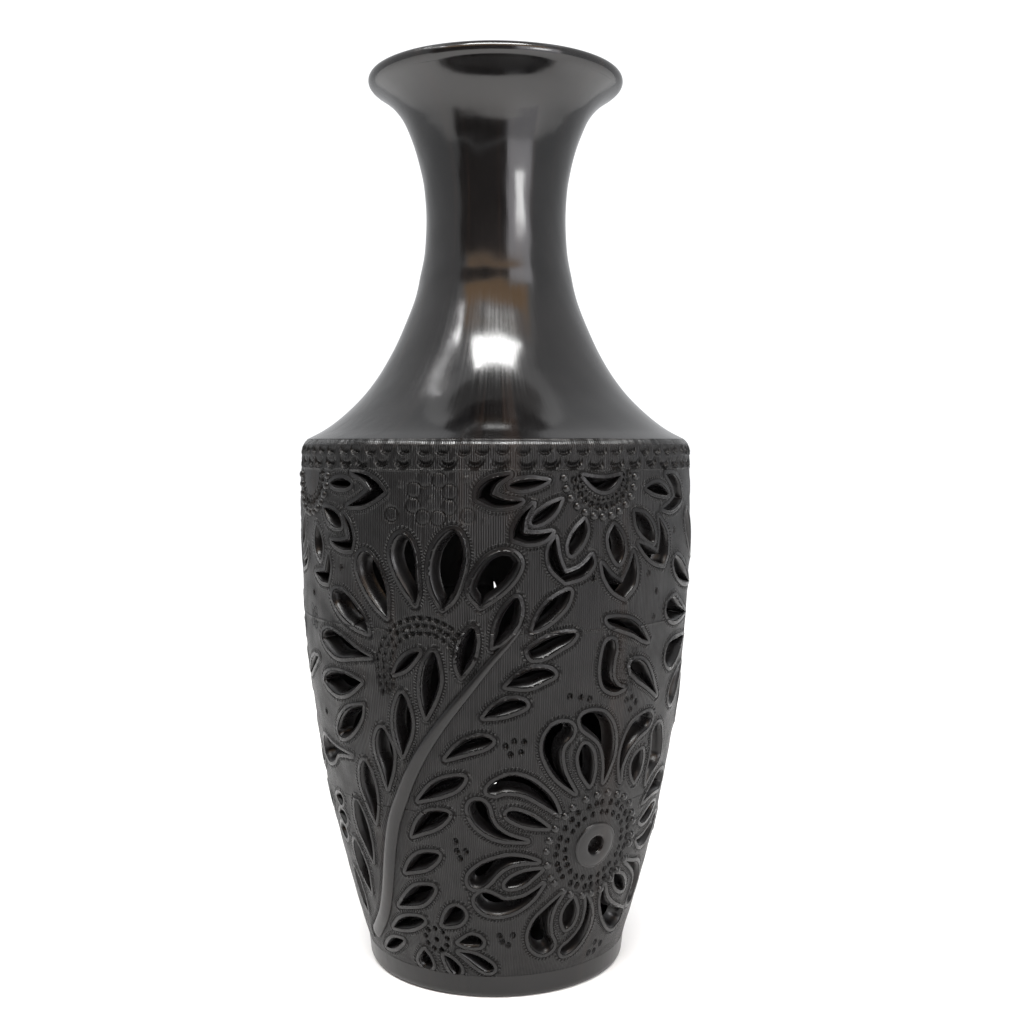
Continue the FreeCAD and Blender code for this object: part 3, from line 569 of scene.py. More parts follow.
for turn in (0.0, BACK):
    cx, cz = turn + HEART_TURN, HEART_Z
    for ring, count, size in ((18.6, 24, 1.55), (23.6, 29, 1.65)):
        for i in range(count):
            a = 360.0 * i / count + jit(1.6)
            p = polar(cx, cz, a, ring + jit(0.25))
            dots.append((p[0], p[1], size + jit(0.08), 1.2))
    for i in range(26):
        p = polar(cx, cz, 360.0 * i / 26 + jit(1.5), 28.6 + jit(0.3))
        beads.append((p[0], p[1], 2.25 + jit(0.12), turn, "flower"))
    rings.append((cx, cz, 11.8, 0.35, 0.35))
    for t, z in ((-12.8, 90.7), (-12.5, 85.4), (-9.7, 85.4), (-11.6, 81.5), (1.2, 37.2), (6.1, 37.3),
                 (2.2, 33.7), (4.5, 31.5),
                 (43.6, 23.5), (47.5, 21.2), (41.0, 18.0), (44.3, 18.0), (20.5, 167.0), (23.8, 166.0),
                 (26.6, 164.8),
                 (39.6, 161.6), (41.6, 162.6), (43.6, 159.6), (41.4, 156.2), (7.0, 139.2), (7.8, 144.6),
                 (5.0, 145.0), (4.0, 138.2), (2.6, 142.6),
                 (26.3, 226.2), (45.8, 226.9), (49.8, 217.0), (58.8, 248.2), (49.0, 203.6), (-61.6, 149.4),
                 (-63.0, 214.2), (-46.4, 230.0)):
        dots.append((turn + t, z, 1.65, 1.1))
    for i in range(9):
        p = polar(turn - 23.2, 32.6, 40.0 * i + 10, 6.4)
        dots.append((p[0], p[1], 1.45, 1.1))
    dots.append((turn - 23.2, 32.3, 1.4, 1.6))
    # stamped scales round the heart of the sunflower
    for ring, count, reach in ((28.0, 22, (20, 215)), (24.2, 19, (20, 215)), (20.4, 16, (20, 215))):
        for i in range(count):
            a = reach[0] + (reach[1] - reach[0]) * (i + 0.5 * (ring == 24.2)) / count + jit(0.8)
            p = polar(turn + SUN_TURN, 180.0, a, ring)
            scales.append((p[0], p[1], 2.35, a, 1.9))
    # ring rosette and targets under the band
    for i in range(8):
        p = polar(turn - 17.0, 267.0, 45.0 * i + 20.0, 10.2)
        rings.append((p[0], p[1], 3.9, 0.42, 0.85))
    for t, z, r in ((-28.3, 258.8, 3.7), (-7.4, 258.9, 3.7)):
        rings.append((turn + t, z, r, 0.5, 1.0))
        rings.append((turn + t, z, 1.5, 0.35, 0.35))
    for t, z in ((-17.0, 267.0), (-25.6, 274.0), (-6.9, 277.0), (-2.7, 256.3), (-8.0, 276.6)):
        bumps.append((turn + t, z, 1.9, 0.8))
    for t, z in ((-65.4, 206.0), (-62.6, 204.6), (-64.6, 201.4), (-62.0, 200.0), (-65.6, 197.6),
                 (-63.2, 196.4)):
        rings.append((turn + t, z, 2.0, 0.3, 0.35))
for turn in HANGING_TURNS:
    for i in range(13):
        a = 190.0 + 14.2 * i
        p = polar(turn, HANGING_Z, a, 16.6)
        dots.append((p[0], p[1], 1.95, 1.2))
        p = polar(turn, HANGING_Z, a - 5.0, 21.6)
        beads.append((p[0], p[1], 2.3 + jit(0.08), turn, "hanging"))
    for i in range(15):
        p = polar(turn, HANGING_Z, 184.0 + 12.4 * i, 13.2)
        dots.append((p[0], p[1], 0.85, 0.7))

# veins of the curled leaf
strokes = []
for turn in (0.0, BACK):
    for i in range(10):
        k = i / 9
        strokes.append(((turn + 35.6 + 1.6 * k, 193.5 - 21.5 * k), (turn + 41.6 - 0.6 * k, 188.0
                                                                    - 21.0 * k), 0.55, 1.0))
    strokes.append(((turn + 35.2, 195.0), (turn + 37.0, 171.0), 0.6, 0.8))
stamps = []
for i in range(68):
    stamps.append((360.0 * (i + 0.35) / 68 + jit(0.25), 290.6 + jit(0.25), 3.9, 2.3, 0.0))
for i in range(55):
    stamps.append((360.0 * (i + 0.15) / 55 + jit(0.3), 284.4 + jit(0.3), 5.0, 2.3, 0.50))

# centreline of the spray's stem, (degrees, z, half width)
STEM = [(-60.2, 22.0, 4.0), (-54.0, 29.5, 4.2), (-47.6, 40.0, 4.4), (-43.0, 53.0, 4.4), (-39.4, 69.0, 4.3),
        (-36.6, 84.0, 4.2),
        (-33.4, 99.0, 4.0), (-29.6, 112.0, 3.8), (-25.4, 126.0, 3.5), (-20.2, 141.0, 3.2),
        (-14.2, 156.0, 2.9), (-7.6, 171.0, 2.5),
        (-1.6, 185.0, 2.1), (4.0, 197.0, 1.7), (7.4, 205.0, 1.2)]
stem_line = np.array(STEM)
stem_line = np.concatenate([curve(stem_line[:, :2], closed=False), stem_line[-1:, :2]])
stem_half = np.interp(np.linspace(0, 1, len(stem_line)), np.linspace(0, 1, len(STEM)), [p[2] for p in STEM])

# ---------------------------------------------------------------- points to mesh the wall with
theta, tt = [], []            # every vertex of the plan
edges = []
count = 0


def add(points):
    global count
    theta.append(points[:, 0])
    tt.append(points[:, 1])
    start = count
    count += len(points)
    return np.arange(start, count)


for h in holes:
    o = h.o
    pts = []
    n = len(o)
    for i in range(n):
        a, b = o[i].copy(), o[(i + 1) % n]
        for s in JOINTS:
            if abs(a[1] - s) < 0.2:
                a[1] = s
                o[i] = a
        pts.append(a)
        for s in JOINTS:
            if abs(a[1] - s) > 0.2 and abs(b[1] - s) >= 0.2 and (a[1] - s) * (b[1] - s) < 0:
                k = (s - a[1]) / (b[1] - a[1])
                pts.append(np.array([a[0] + k * (b[0] - a[0]), s]))
    h.o = np.array(pts)
    h.ids = add(h.o)
    edges += [(int(h.ids[i]), int(h.ids[(i + 1) % len(h.ids)])) for i in range(len(h.ids))]

    # how far the carving can go in before it meets the other side
    p = to_mm(h.o, h.c)
    d = np.roll(p, -1, 0) - np.roll(p, 1, 0)
    d /= np.linalg.norm(d, axis=1)[:, None] + 1e-9
    nrm = np.stack([-d[:, 1], d[:, 0]], 1)
    v = p[None] - p[:, None]
    dot_n = (v * nrm[:, None]).sum(2)
    ball = np.where(dot_n > 0.05, (v ** 2).sum(2) / (2 * np.maximum(dot_n, 1e-6)), 1e9).min(1)
    h.p, h.n, h.ball = p, nrm, ball


def hash_ids(th, t, cell):
    return (np.floor((th % (2 * math.pi)) * 100.0 / cell).astype(np.int64) * 100000
            + np.floor(t / cell).astype(np.int64))


def close_by(h, th, t, reach):
    """Which points are near enough to an opening to matter to it."""
    r = h.reach * 1.25 + reach
    return np.nonzero((np.abs(t - h.c[1]) < r) & (np.abs(wrap(th - h.c[0])) * ROUGH_R < r * 1.35))[0]


def near_hole(th, t, reach):
    """Distance to the nearest opening's outline, and whether inside one."""
    best = np.full(len(th), 99.0)
    within = np.zeros(len(th), bool)
    for h in holes:
        near = close_by(h, th, t, reach)
        if not len(near):
            continue
        p = to_mm(np.stack([th[near], t[near]], 1), h.c)
        best[near] = np.minimum(best[near], seg_dist(p, h.p)[0])
        within[near] |= inside(p, h.p)
    return best, within


# seam circles, broken where an opening crosses them
seam_rows = []
for s in SEAMS:
    r = float(side_point(s)[0])
    n = int(2 * math.pi * r / 0.95)
    th = 2 * math.pi * np.arange(n) / n - math.pi
    d, within = near_hole(th, np.full(n, s), 2.0) if s in JOINTS else (np.full(n, 9.0), np.zeros(n, bool))
    own = add(np.stack([th[(d > 0.45) & ~within], np.full(((d > 0.45) & ~within).sum(), s)], 1))
    ids = list(own)
    if s in JOINTS:
        for h in holes:
            ids += [int(i) for i, z in zip(h.ids, h.o[:, 1]) if z == s]
    all_th = np.concatenate(theta)
    ids = np.array(ids)
    ids = ids[np.argsort(wrap(all_th[ids]))]
    pairs = np.stack([ids, np.roll(ids, -1)], 1)
    if s in JOINTS:
        a, b = all_th[pairs[:, 0]], all_th[pairs[:, 1]]
        mid = a + 0.5 * wrap(b - a)
        _, within = near_hole(mid, np.full(len(mid), s), 2.0)
        pairs = pairs[~within]
    edges += [(int(i), int(j)) for i, j in pairs]
    seam_rows.append(pairs)

fixed = count
used = np.unique(hash_ids(np.concatenate(theta), np.concatenate(tt), 0.45))


def offer(points, cell, keep_off=0.55):
    """Add free points where there is room for them."""
    global used
    th, t = points[:, 0], points[:, 1]
    ok = (t > SEAMS[0] + 0.4) & (t < SEAMS[-1] - 0.4)
    for s in JOINTS:
        ok &= np.abs(t - s) > 0.4
    th, t = th[ok], t[ok]
    d, within = near_hole(th, t, keep_off + 1)
    ok = (d > keep_off) & ~within
    th, t = th[ok], t[ok]
    ids = hash_ids(th, t, cell)
    _, first = np.unique(ids, return_index=True)
    th, t = th[first], t[first]
    ids = hash_ids(th, t, 0.45)
    free = np.ones(len(ids), bool)
    for dx in (-1, 0, 1):
        for dy in (-1, 0, 1):
            free &= ~np.isin(ids + dx * 100000 + dy, used)
    th, t = th[free], t[free]
    used = np.union1d(used, ids[free])
    return add(np.stack([th, t], 1))


def round_marks(spots, rows):
    out = []
    for turn, z, radius in spots:
        r = radius_at(z)
        for k, n in rows:
            a = 2 * math.pi * (np.arange(n) + 0.5 * (n % 2)) / n
            out.append(np.stack([math.radians(turn) + k * radius * np.cos(a) / r, z
                                 + k * radius * np.sin(a)], 1))
    return np.concatenate(out)


offer(round_marks([d[:3] for d in dots], ((1.28, 12), (1.0, 12), (0.86, 10), (0.5, 6), (0.0, 1))), 0.42)
offer(round_marks([(b[0], b[1], b[2]) for b in bumps], ((1.2, 12), (0.8, 8), (0.4, 5), (0.0, 1))), 0.42)
offer(np.concatenate([
    round_marks([(t, z, r + o)], ((1.0, int(max(10, 5.5 * (r + o)))),)) for t, z, r, w, d in rings
                      for o in (-w * 1.5, 0.0, w * 1.5)]), 0.40)
for off in (0.6, 1.2, 1.9, 2.6, 3.4, 4.4):
    pts = []
    for h in holes:
        q = h.p - h.n * off
        r = radius_at(h.c[1])
        pts.append(np.stack([h.c[0] + q[:, 0] / r, h.c[1] + q[:, 1]], 1))
    offer(np.concatenate(pts), 0.55 if off < 3 else 0.9, off * 0.85)
# stamped band: a close even grid
n_band = 1240
gt, gz = np.meshgrid(2 * math.pi * np.arange(n_band) / n_band, np.arange(281.5, 297.2, 0.5))
gt = gt + (np.arange(gt.shape[0]) % 2)[:, None] * math.pi / n_band
offer(np.stack([gt.ravel(), gz.ravel()], 1), 0.42)
pts = []
for t, z, r, a, d in scales:
    g = np.mgrid[-3.0:3.1:0.5, -3.0:3.1:0.5].reshape(2, -1)
    pts.append(np.stack([math.radians(t) + g[0] / 107.0, z + g[1]], 1))
offer(np.concatenate(pts), 0.5)
pts = []
for (t0, z0), (t1, z1), width, depth in strokes:
    r = float(wall_r(z0))
    n = int(math.hypot(math.radians(t1 - t0) * r, z1 - z0) / 0.7) + 1
    for off in (-0.55, 0.0, 0.55):
        k = np.linspace(0, 1, n)
        pts.append(np.stack([np.radians(t0 + (t1 - t0) * k), z0 + (z1 - z0) * k + off], 1))
offer(np.concatenate(pts), 0.5)
n_grid = 410
gt, gz = np.meshgrid(2 * math.pi * np.arange(n_grid) / n_grid, np.arange(13.0, 281.0, 1.45))
gt = gt + (np.arange(gt.shape[0]) % 2)[:, None] * math.pi / n_grid
offer(np.stack([gt.ravel(), gz.ravel()], 1), 1.0, 1.2)
theta = np.concatenate(theta)
tt = np.concatenate(tt)


def near_through(th, t):
    """Whether points lie inside an opening that goes right through."""
    within = np.zeros(len(th), bool)
    for h in holes:
        if h.blind:
            continue
        near = close_by(h, th, t, 1)
        if len(near):
            within[near] |= inside(to_mm(np.stack([th[near], t[near]], 1), h.c), h.p)
    return within


def triangulate(ids, outside):
    """Delaunay triangles over the chosen vertices, keeping to every outline."""
    where = -np.ones(count, int)
    where[ids] = np.arange(len(ids))
    flat_pts = ring_plane(theta[ids], tt[ids])
    result = delaunay_2d_cdt([Vector(p) for p in flat_pts.tolist()],
                             [(int(where[a]), int(where[b])) for a, b in edges], [], 0, 1e-5, True)
    verts, _, tris, v_from = result[0], result[1], result[2], result[3]
    back = np.array([v[0] if len(v) else -1 for v in v_from])
    tris = np.array([t for t in tris if len(t) == 3])
    tris = back[tris]
    tris = tris[(tris >= 0).all(1)]
    tris = ids[tris]
    a = theta[tris]
    mid = a[:, 0] + (wrap(a[:, 1] - a[:, 0]) + wrap(a[:, 2] - a[:, 0])) / 3
    mt = tt[tris].mean(1)
    keep = ~((tt[tris] == SEAMS[0]).all(1)) & ~((tt[tris] == SEAMS[-1]).all(1))
    within = near_hole(mid, mt, 1.0)[1] if outside else near_through(mid, mt)
    tris, mid, mt = tris[keep & ~within], mid[keep & ~within], mt[keep & ~within]
    # seen from outside, the right way round
    u1 = wrap(theta[tris[:, 1]] - theta[tris[:, 0]])
    u2 = wrap(theta[tris[:, 2]] - theta[tris[:, 0]])
    v1, v2 = tt[tris[:, 1]] - tt[tris[:, 0]], tt[tris[:, 2]] - tt[tris[:, 0]]
    flip = (u1 * v2 - u2 * v1) < 0
    tris[flip] = tris[flip][:, ::-1]
    return tris, mid, mt


outer_tris, outer_mid, outer_mt = triangulate(np.arange(count), True)
inner_free = np.arange(fixed, count)
d_in, _ = near_hole(theta[inner_free], tt[inner_free], 5.0)
pick = inner_free[d_in > 2.6]
_, first = np.unique(hash_ids(theta[pick], tt[pick], 4.0), return_index=True)
inner_ids = np.concatenate([np.arange(fixed), pick[np.sort(first)]])
inner_tris, inner_mid, inner_mt = triangulate(inner_ids, False)

# ---------------------------------------------------------------- relief of the outer face
edge_d = np.full(count, 99.0)
lip_h = np.zeros(count)
hatch = np.zeros(count)
for h in holes:
    near = close_by(h, theta, tt, 9.0)
    p = to_mm(np.stack([theta[near], tt[near]], 1), h.c)
    d = seg_dist(p, h.p)[0]
    closer = d < edge_d[near]
    edge_d[near[closer]] = d[closer]
    # blend of lip heights so that neighbours meet smoothly
    w = np.exp(-d / 1.2)
    lip_h[near] += w * h.lip
    hatch[near] += w * h.hatch
    h.weight = (near, w)
total = np.full(count, 1e-9)
for h in holes:
    near, w = h.weight
    total[near] += w
lip_h /= total
hatch /= total


def bump_profile(d):
    """Height of the raised lip at a distance from an opening's edge, 0 to 1."""
    return np.interp(d, [0.0, 0.45, 0.95, 1.5, 2.1, 2.45, 2.8, 3.3, 4.6, 6.0],
                     [0.62, 0.93, 1.0, 0.86, 0.45, 0.12, 0.22, 0.34, 0.24, 0.0])


relief = lip_h * bump_profile(edge_d)


def press(turn, z, reach):
    """The points within reach of a mark, with their places right of it and above it in mm."""
    off = wrap(theta - math.radians(turn))
    near = np.nonzero((np.abs(tt - z) < reach) & (np.abs(off) * ROUGH_R < reach * 1.5))[0]
    return near, off[near] * radius_at(z), tt[near] - z


def scoop(x, y, radius, depth, thin):
    """A thumbnail mark: level at the top, sinking to a rounded lower wall with a small lip."""
    k = np.hypot(x, y) / radius
    sink = np.clip((0.35 - y / radius) / 0.95, 0, 1) * np.clip((1.0 - k) * radius / 1.05, 0, 1)
    if thin:
        sink *= np.clip((np.hypot(x, y - 0.3 * radius) / radius - thin) / 0.3, 0, 1)
    lip = np.exp(-((k - 1.05) * radius / 0.32) ** 2) * np.clip(0.3 - y / radius, 0, 1)
    return 0.45 * lip - depth * sink


for turn, z, radius, depth in dots:
    near, x, y = press(turn, z, radius * 1.5)
    k = np.hypot(x, y) / radius
    relief[near] += np.where(k < 1, -depth * 1.6 * np.clip(1 - k ** 2, 0, 1) ** 0.5,
                             0.22 * np.clip(1 - np.abs(k - 1.18) / 0.25, 0, 1))
for turn, z, radius, height in bumps:
    near, x, y = press(turn, z, radius * 1.3)
    k = np.hypot(x, y) / radius
    relief[near] += np.where(k < 1, height * np.sqrt(np.clip(1 - k ** 2, 0, 1)), 0)
for turn, z, radius, width, depth in rings:
    near, x, y = press(turn, z, radius + 3 * width)
    k = (np.hypot(x, y) - radius) / width
    relief[near] -= depth * np.exp(-k ** 2)
for turn, z, radius, facing, depth in scales:
    near, x, y = press(turn, z, radius * 1.5)
    a = math.radians(facing)
    u, v = x * math.cos(a) + y * math.sin(a), -x * math.sin(a) + y * math.cos(a)
    relief[near] += scoop(-v, u, radius, depth, 0.0)
for turn, z, radius, depth, thin in stamps:
    near, x, y = press(turn, z, radius * 1.6)
    relief[near] += scoop(x, y - 0.35 * radius, radius, depth, thin)

for (t0, z0), (t1, z1), width, depth in strokes:
    near, x, y = press(0.5 * (t0 + t1), 0.5 * (z0 + z1), 12.0)
    r = float(wall_r(0.5 * (z0 + z1)))
    a = np.array([math.radians(t0 - 0.5 * (t0 + t1)) * r, z0 - 0.5 * (z0 + z1)])
    d = seg_dist(np.stack([x, y], 1), np.array([a, -a]), closed=False)[0]
    relief[near] -= np.where(edge_d[near] > 0.8, depth * np.exp(-(d / width) ** 2), 0)

# the stem's bed, with the long groove down its left side
for turn in (0.0, BACK):
    near = np.nonzero((tt > 14) & (tt < 214))[0]
    th = theta[near] - math.radians(turn)
    near = near[(wrap(th) > math.radians(-70)) & (wrap(th) < math.radians(20))]
    x = wrap(theta[near] - math.radians(turn)) * STEM_R
    line = np.stack([np.radians(stem_line[:, 0]) * STEM_R, stem_line[:, 1]], 1)
    d, s, length, k, f = seg_dist(np.stack([x, tt[near]], 1), line, closed=False)
    a, b = line[k], line[k + 1]
    side = (b[:, 0] - a[:, 0]) * (tt[near] - a[:, 1]) - (b[:, 1] - a[:, 1]) * (x - a[:, 0])
    half = stem_half[k]
    left = np.where(side > 0, d, -d)
    relief[near] += np.where(edge_d[near] > 1.0, -0.9 * np.exp(-((left - half - 0.5) / 0.55) ** 2), 0)
    relief[near] += np.where(edge_d[near] > 1.0, 0.45 * np.exp(-((left - half - 2.2) / 0.9) ** 2), 0)

# faint scallops scratched round the foot
for i in range(14):
    near, x, y = press(360.0 * i / 14 + 6.0, 8.0, 24.0)
    k = (np.hypot(x / 1.6, y) - 10.0) / 0.5
    relief[near] -= 0.22 * np.exp(-k ** 2) * (y > 2)
# hand-made unevenness
relief += (0.22 * np.sin(3 * theta + 0.03 * tt) * np.sin(0.045 * tt)
           + 0.12 * np.sin(17 * theta + 0.21 * tt) * np.sin(0.19 * tt + 5 * theta))
fade = np.clip(np.minimum((tt - SEAMS[0]) / 4.0, (SEAMS[-1] - tt) / 1.2), 0, 1)
relief *= np.where((tt == SEAMS[0]) | (tt == SEAMS[-1]), 0.0, fade)


def outer_xyz(th, t, h):
    r, z, nr, nz = side_point(t)
    r, z = r + nr * h, z + nz * h
    return np.stack([r * np.sin(th), -r * np.cos(th), z], 1) * MM


def inner_xyz(th, t):
    r, z = inner_point(t)
    return np.stack([r * np.sin(th), -r * np.cos(th), z], 1) * MM


inner_theta, inner_t = theta.copy(), tt.copy()
points = [outer_xyz(theta, tt, relief)]
next_id = count
for h in holes:
    r = radius_at(h.c[1])
    room = np.minimum(h.bevel, 0.55 * h.ball)
    for _ in range(4):
        room = np.minimum(room, (np.roll(room, 1) + room + np.roll(room, -1)) / 3 + 0.02)
    ids_rows = [h.ids]
    for k_in, k_deep in ((0.30, 0.12), (0.72, 0.45), (1.0, 1.0)):
        q = h.p + h.n * (room * k_in)[:, None]
        deep = h.depth * k_deep * np.clip(room / h.bevel * 1.4, 0.15, 1)
        pts = outer_xyz(h.c[0] + q[:, 0] / r, h.c[1] + q[:, 1], relief[h.ids] - deep)
        points.append(pts)
        ids_rows.append(np.arange(next_id, next_id + len(pts)))
        next_id += len(pts)
    far = np.minimum(room + 0.9, 0.72 * h.ball)
    q = h.p + h.n * far[:, None]
    if not h.blind:
        inner_theta[h.ids] = h.c[0] + q[:, 0] / r
        inner_t[h.ids] = h.c[1] + q[:, 1]
    h.rows = ids_rows
inner_base = next_id
points.append(inner_xyz(inner_theta, inner_t))
points = np.concatenate(points)
column = {}
for h in holes:
    for j, i in enumerate(h.ids):
        if tt[i] in SEAMS:
            column[int(i)] = [int(row[j]) for row in h.rows[1:]]


# how each corner of an outer triangle sits beside the outline nearest to the triangle
owner = np.full(len(outer_tris), -1)
best = np.full(len(outer_tris), 7.0)
for n, h in enumerate(holes):
    near = close_by(h, outer_mid, outer_mt, 8.0)
    d = seg_dist(to_mm(np.stack([outer_mid[near], outer_mt[near]], 1), h.c), h.p)[0]
    closer = d < best[near]
    best[near[closer]] = d[closer]
    owner[near[closer]] = n
corner_d = np.full((len(outer_tris), 3), 9.0)
corner_s = np.zeros((len(outer_tris), 3))
corner_h = np.zeros((len(outer_tris), 3))
for n, h in enumerate(holes):
    mine = np.nonzero(owner == n)[0]
    if not len(mine):
        continue
    ids = outer_tris[mine].ravel()
    d, s, length, _, _ = seg_dist(to_mm(np.stack([theta[ids], tt[ids]], 1), h.c), h.p)
    s = s.reshape(-1, 3)
    s = s[:, :1] + ((s - s[:, :1] + length / 2) % length - length / 2)
    teeth = max(6, round(length / 1.45))
    corner_d[mine] = d.reshape(-1, 3)
    corner_s[mine] = s * teeth / length
    corner_h[mine] = h.hatch


def make_mesh(name, verts, faces, corner=None, sharp=38.0, material=None):
    """A mesh object from all the points its faces use; corner holds values for each face's corners."""
    loops = np.concatenate([np.asarray(f, int) for f in faces])
    sizes = np.array([len(f) for f in faces])
    used_ids, renamed = np.unique(loops, return_inverse=True)
    me = bpy.data.meshes.new(name)
    me.vertices.add(len(used_ids))
    me.vertices.foreach_set("co", verts[used_ids].ravel())
    me.loops.add(len(loops))
    me.loops.foreach_set("vertex_index", renamed.astype(np.int32))
    me.polygons.add(len(sizes))
    me.polygons.foreach_set("loop_start", np.concatenate([[0], np.cumsum(sizes)[:-1]]).astype(np.int32))
    me.polygons.foreach_set("loop_total", sizes.astype(np.int32))
    me.polygons.foreach_set("use_smooth", np.ones(len(sizes), bool))
    for key, values in (corner or {}).items():
        at = me.attributes.new(key, "FLOAT", "CORNER")
        at.data.foreach_set("value", np.asarray(values, np.float32))
    me.update(calc_edges=True)
    me.validate()
    me.set_sharp_from_angle(angle=math.radians(sharp))
    ob = bpy.data.objects.new(name, me)
    bpy.context.collection.objects.link(ob)
    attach(ob, "root")
    if material:
        me.materials.append(material)
    return ob


wall_names = ["lower_wall", "middle_wall", "upper_wall", "stamped_band"]
wall_parts = []
for k, name in enumerate(wall_names):
    low, high = SEAMS[k], SEAMS[k + 1]
    faces, cd, cs, ch, cz = [], [], [], [], []

    def put(face, zone, d=9.0, s=0.0, h=0.0):
        faces.append(face)
        n = len(face)
        cd.extend([d] * n if np.isscalar(d) else d)
        cs.extend([s] * n if np.isscalar(s) else s)
        ch.extend([h] * n)
        cz.extend([zone] * n)

    mine = np.nonzero((outer_mt > low) & (outer_mt < high))[0]
    for i in mine:
        put(outer_tris[i], 0.0, corner_d[i].tolist(), corner_s[i].tolist(), float(corner_h[i][0]))
    mine = np.nonzero((inner_mt > low) & (inner_mt < high))[0]
    for i in mine:
        put(inner_tris[i][::-1] + inner_base, 2.0)
    for h in holes:
        n = len(h.ids)
        z = h.o[:, 1]
        zm = 0.5 * (z + np.roll(z, -1))
        strips = h.rows + ([] if h.blind else [h.ids + inner_base])
        for j in range(n):
            if not low < zm[j] < high:
                continue
            m = (j + 1) % n
            for level in range(len(strips) - 1):
                a, b = strips[level], strips[level + 1]
                put([a[m], a[j], b[j], b[m]], 1.0, -0.5 - 2.0 * level)
        if h.blind and low < h.c[1] < high:
            lookup = dict(zip(h.ids.tolist(), h.rows[-1].tolist()))
            own = np.isin(inner_tris, h.ids).all(1)
            own[own] = inside(to_mm(np.stack([inner_mid[own], inner_mt[own]], 1), h.c), h.p)
            for tri in inner_tris[own]:
                put([lookup[int(v)] for v in tri], 1.0, -3.0)
    for row, up in ((seam_rows[k], False), (seam_rows[k + 1], True)):
        for a, b in row:
            ring = [int(a), int(b)] + column.get(int(b), []) + [int(b) + inner_base, int(a)
                                                                + inner_base] + column.get(int(a), [])[::-1]
            put(ring if not up else ring[::-1], 2.0)
    wall_parts.append((name, faces, dict(edge_d=cd, edge_s=cs, hatch=ch, zone=cz)))

# ---------------------------------------------------------------- burnished sections
def profile_rows(stations, spacing):
    """Fine rows along an outline given by a few stations (radius, height)."""
    p = np.array(stations, float)
    n = len(p)
    seg = np.linalg.norm(np.diff(p, axis=0), axis=1)
    slope = np.zeros_like(p)
    for i in range(n):
        if i == 0:
            slope[i] = (p[1] - p[0]) / seg[0]
        elif i == n - 1:
            slope[i] = (p[-1] - p[-2]) / seg[-1]
        else:
            a, b = (p[i] - p[i - 1]) / seg[i - 1], (p[i + 1] - p[i]) / seg[i]
            slope[i] = (a * seg[i] + b * seg[i - 1]) / (seg[i] + seg[i - 1])
    out = []
    for i in range(n - 1):
        k = max(1, int(round(seg[i] / spacing)))
        t = (np.arange(k) / k)[:, None]
        out.append((2 * t ** 3 - 3 * t ** 2 + 1) * p[i] + (t ** 3 - 2 * t ** 2 + t) * slope[i] * seg[i]
                   + (-2 * t ** 3 + 3 * t ** 2) * p[i + 1] + (t ** 3 - t ** 2) * slope[i + 1] * seg[i])
    return np.concatenate(out + [p[-1:]])


# The same stations as the CAD outline, (radius, height). They were rounded from a least-squares fit to the
# photograph's outline, so they are not driving dimensions.
NECK_LINE = [(106.8, 296.6), (98.1, 301.2), (84.0, 312.0), (75.4, 320.5), (68.0, 330.0), (59.2, 344.5),
             (52.0, 360.0), (46.0, 376.0),
             (42.4, 392.0), (40.9, 400.5), (40.1, 410.0), (39.7, 422.0), (40.3, 434.0), (41.0, 440.5),
             (42.2, 447.0), (44.2, 455.5),
             (48.4, 468.0), (53.3, 478.2), (59.4, 485.6), (63.8, 489.2), (68.6, 492.4)]
NECK_JOINTS = {"shoulder": (296.6, 360.0), "neck": (360.0, 447.0), "mouth": (447.0, 492.4)}


def waver(turned_by, z):
    """Small unevenness left by the hand-held burnishing stone, mm."""
    return (0.16 * np.sin(2 * turned_by + 0.9) * np.sin(z * 0.05) + 0.10 * np.sin(5 * turned_by + z * 0.045)
            + 0.035 * np.sin(11 * turned_by - z * 0.10 + 2 * np.sin(z * 0.09))
            + 0.014 * np.sin(23 * turned_by + z * 0.22)
            + 0.05 * np.sin(z * 0.24 + 1.5 * np.sin(3 * turned_by)) * np.sin(2 * turned_by + z * 0.03)
            + 0.09 * np.exp(-((z - 388.0) / 3.4) ** 2))


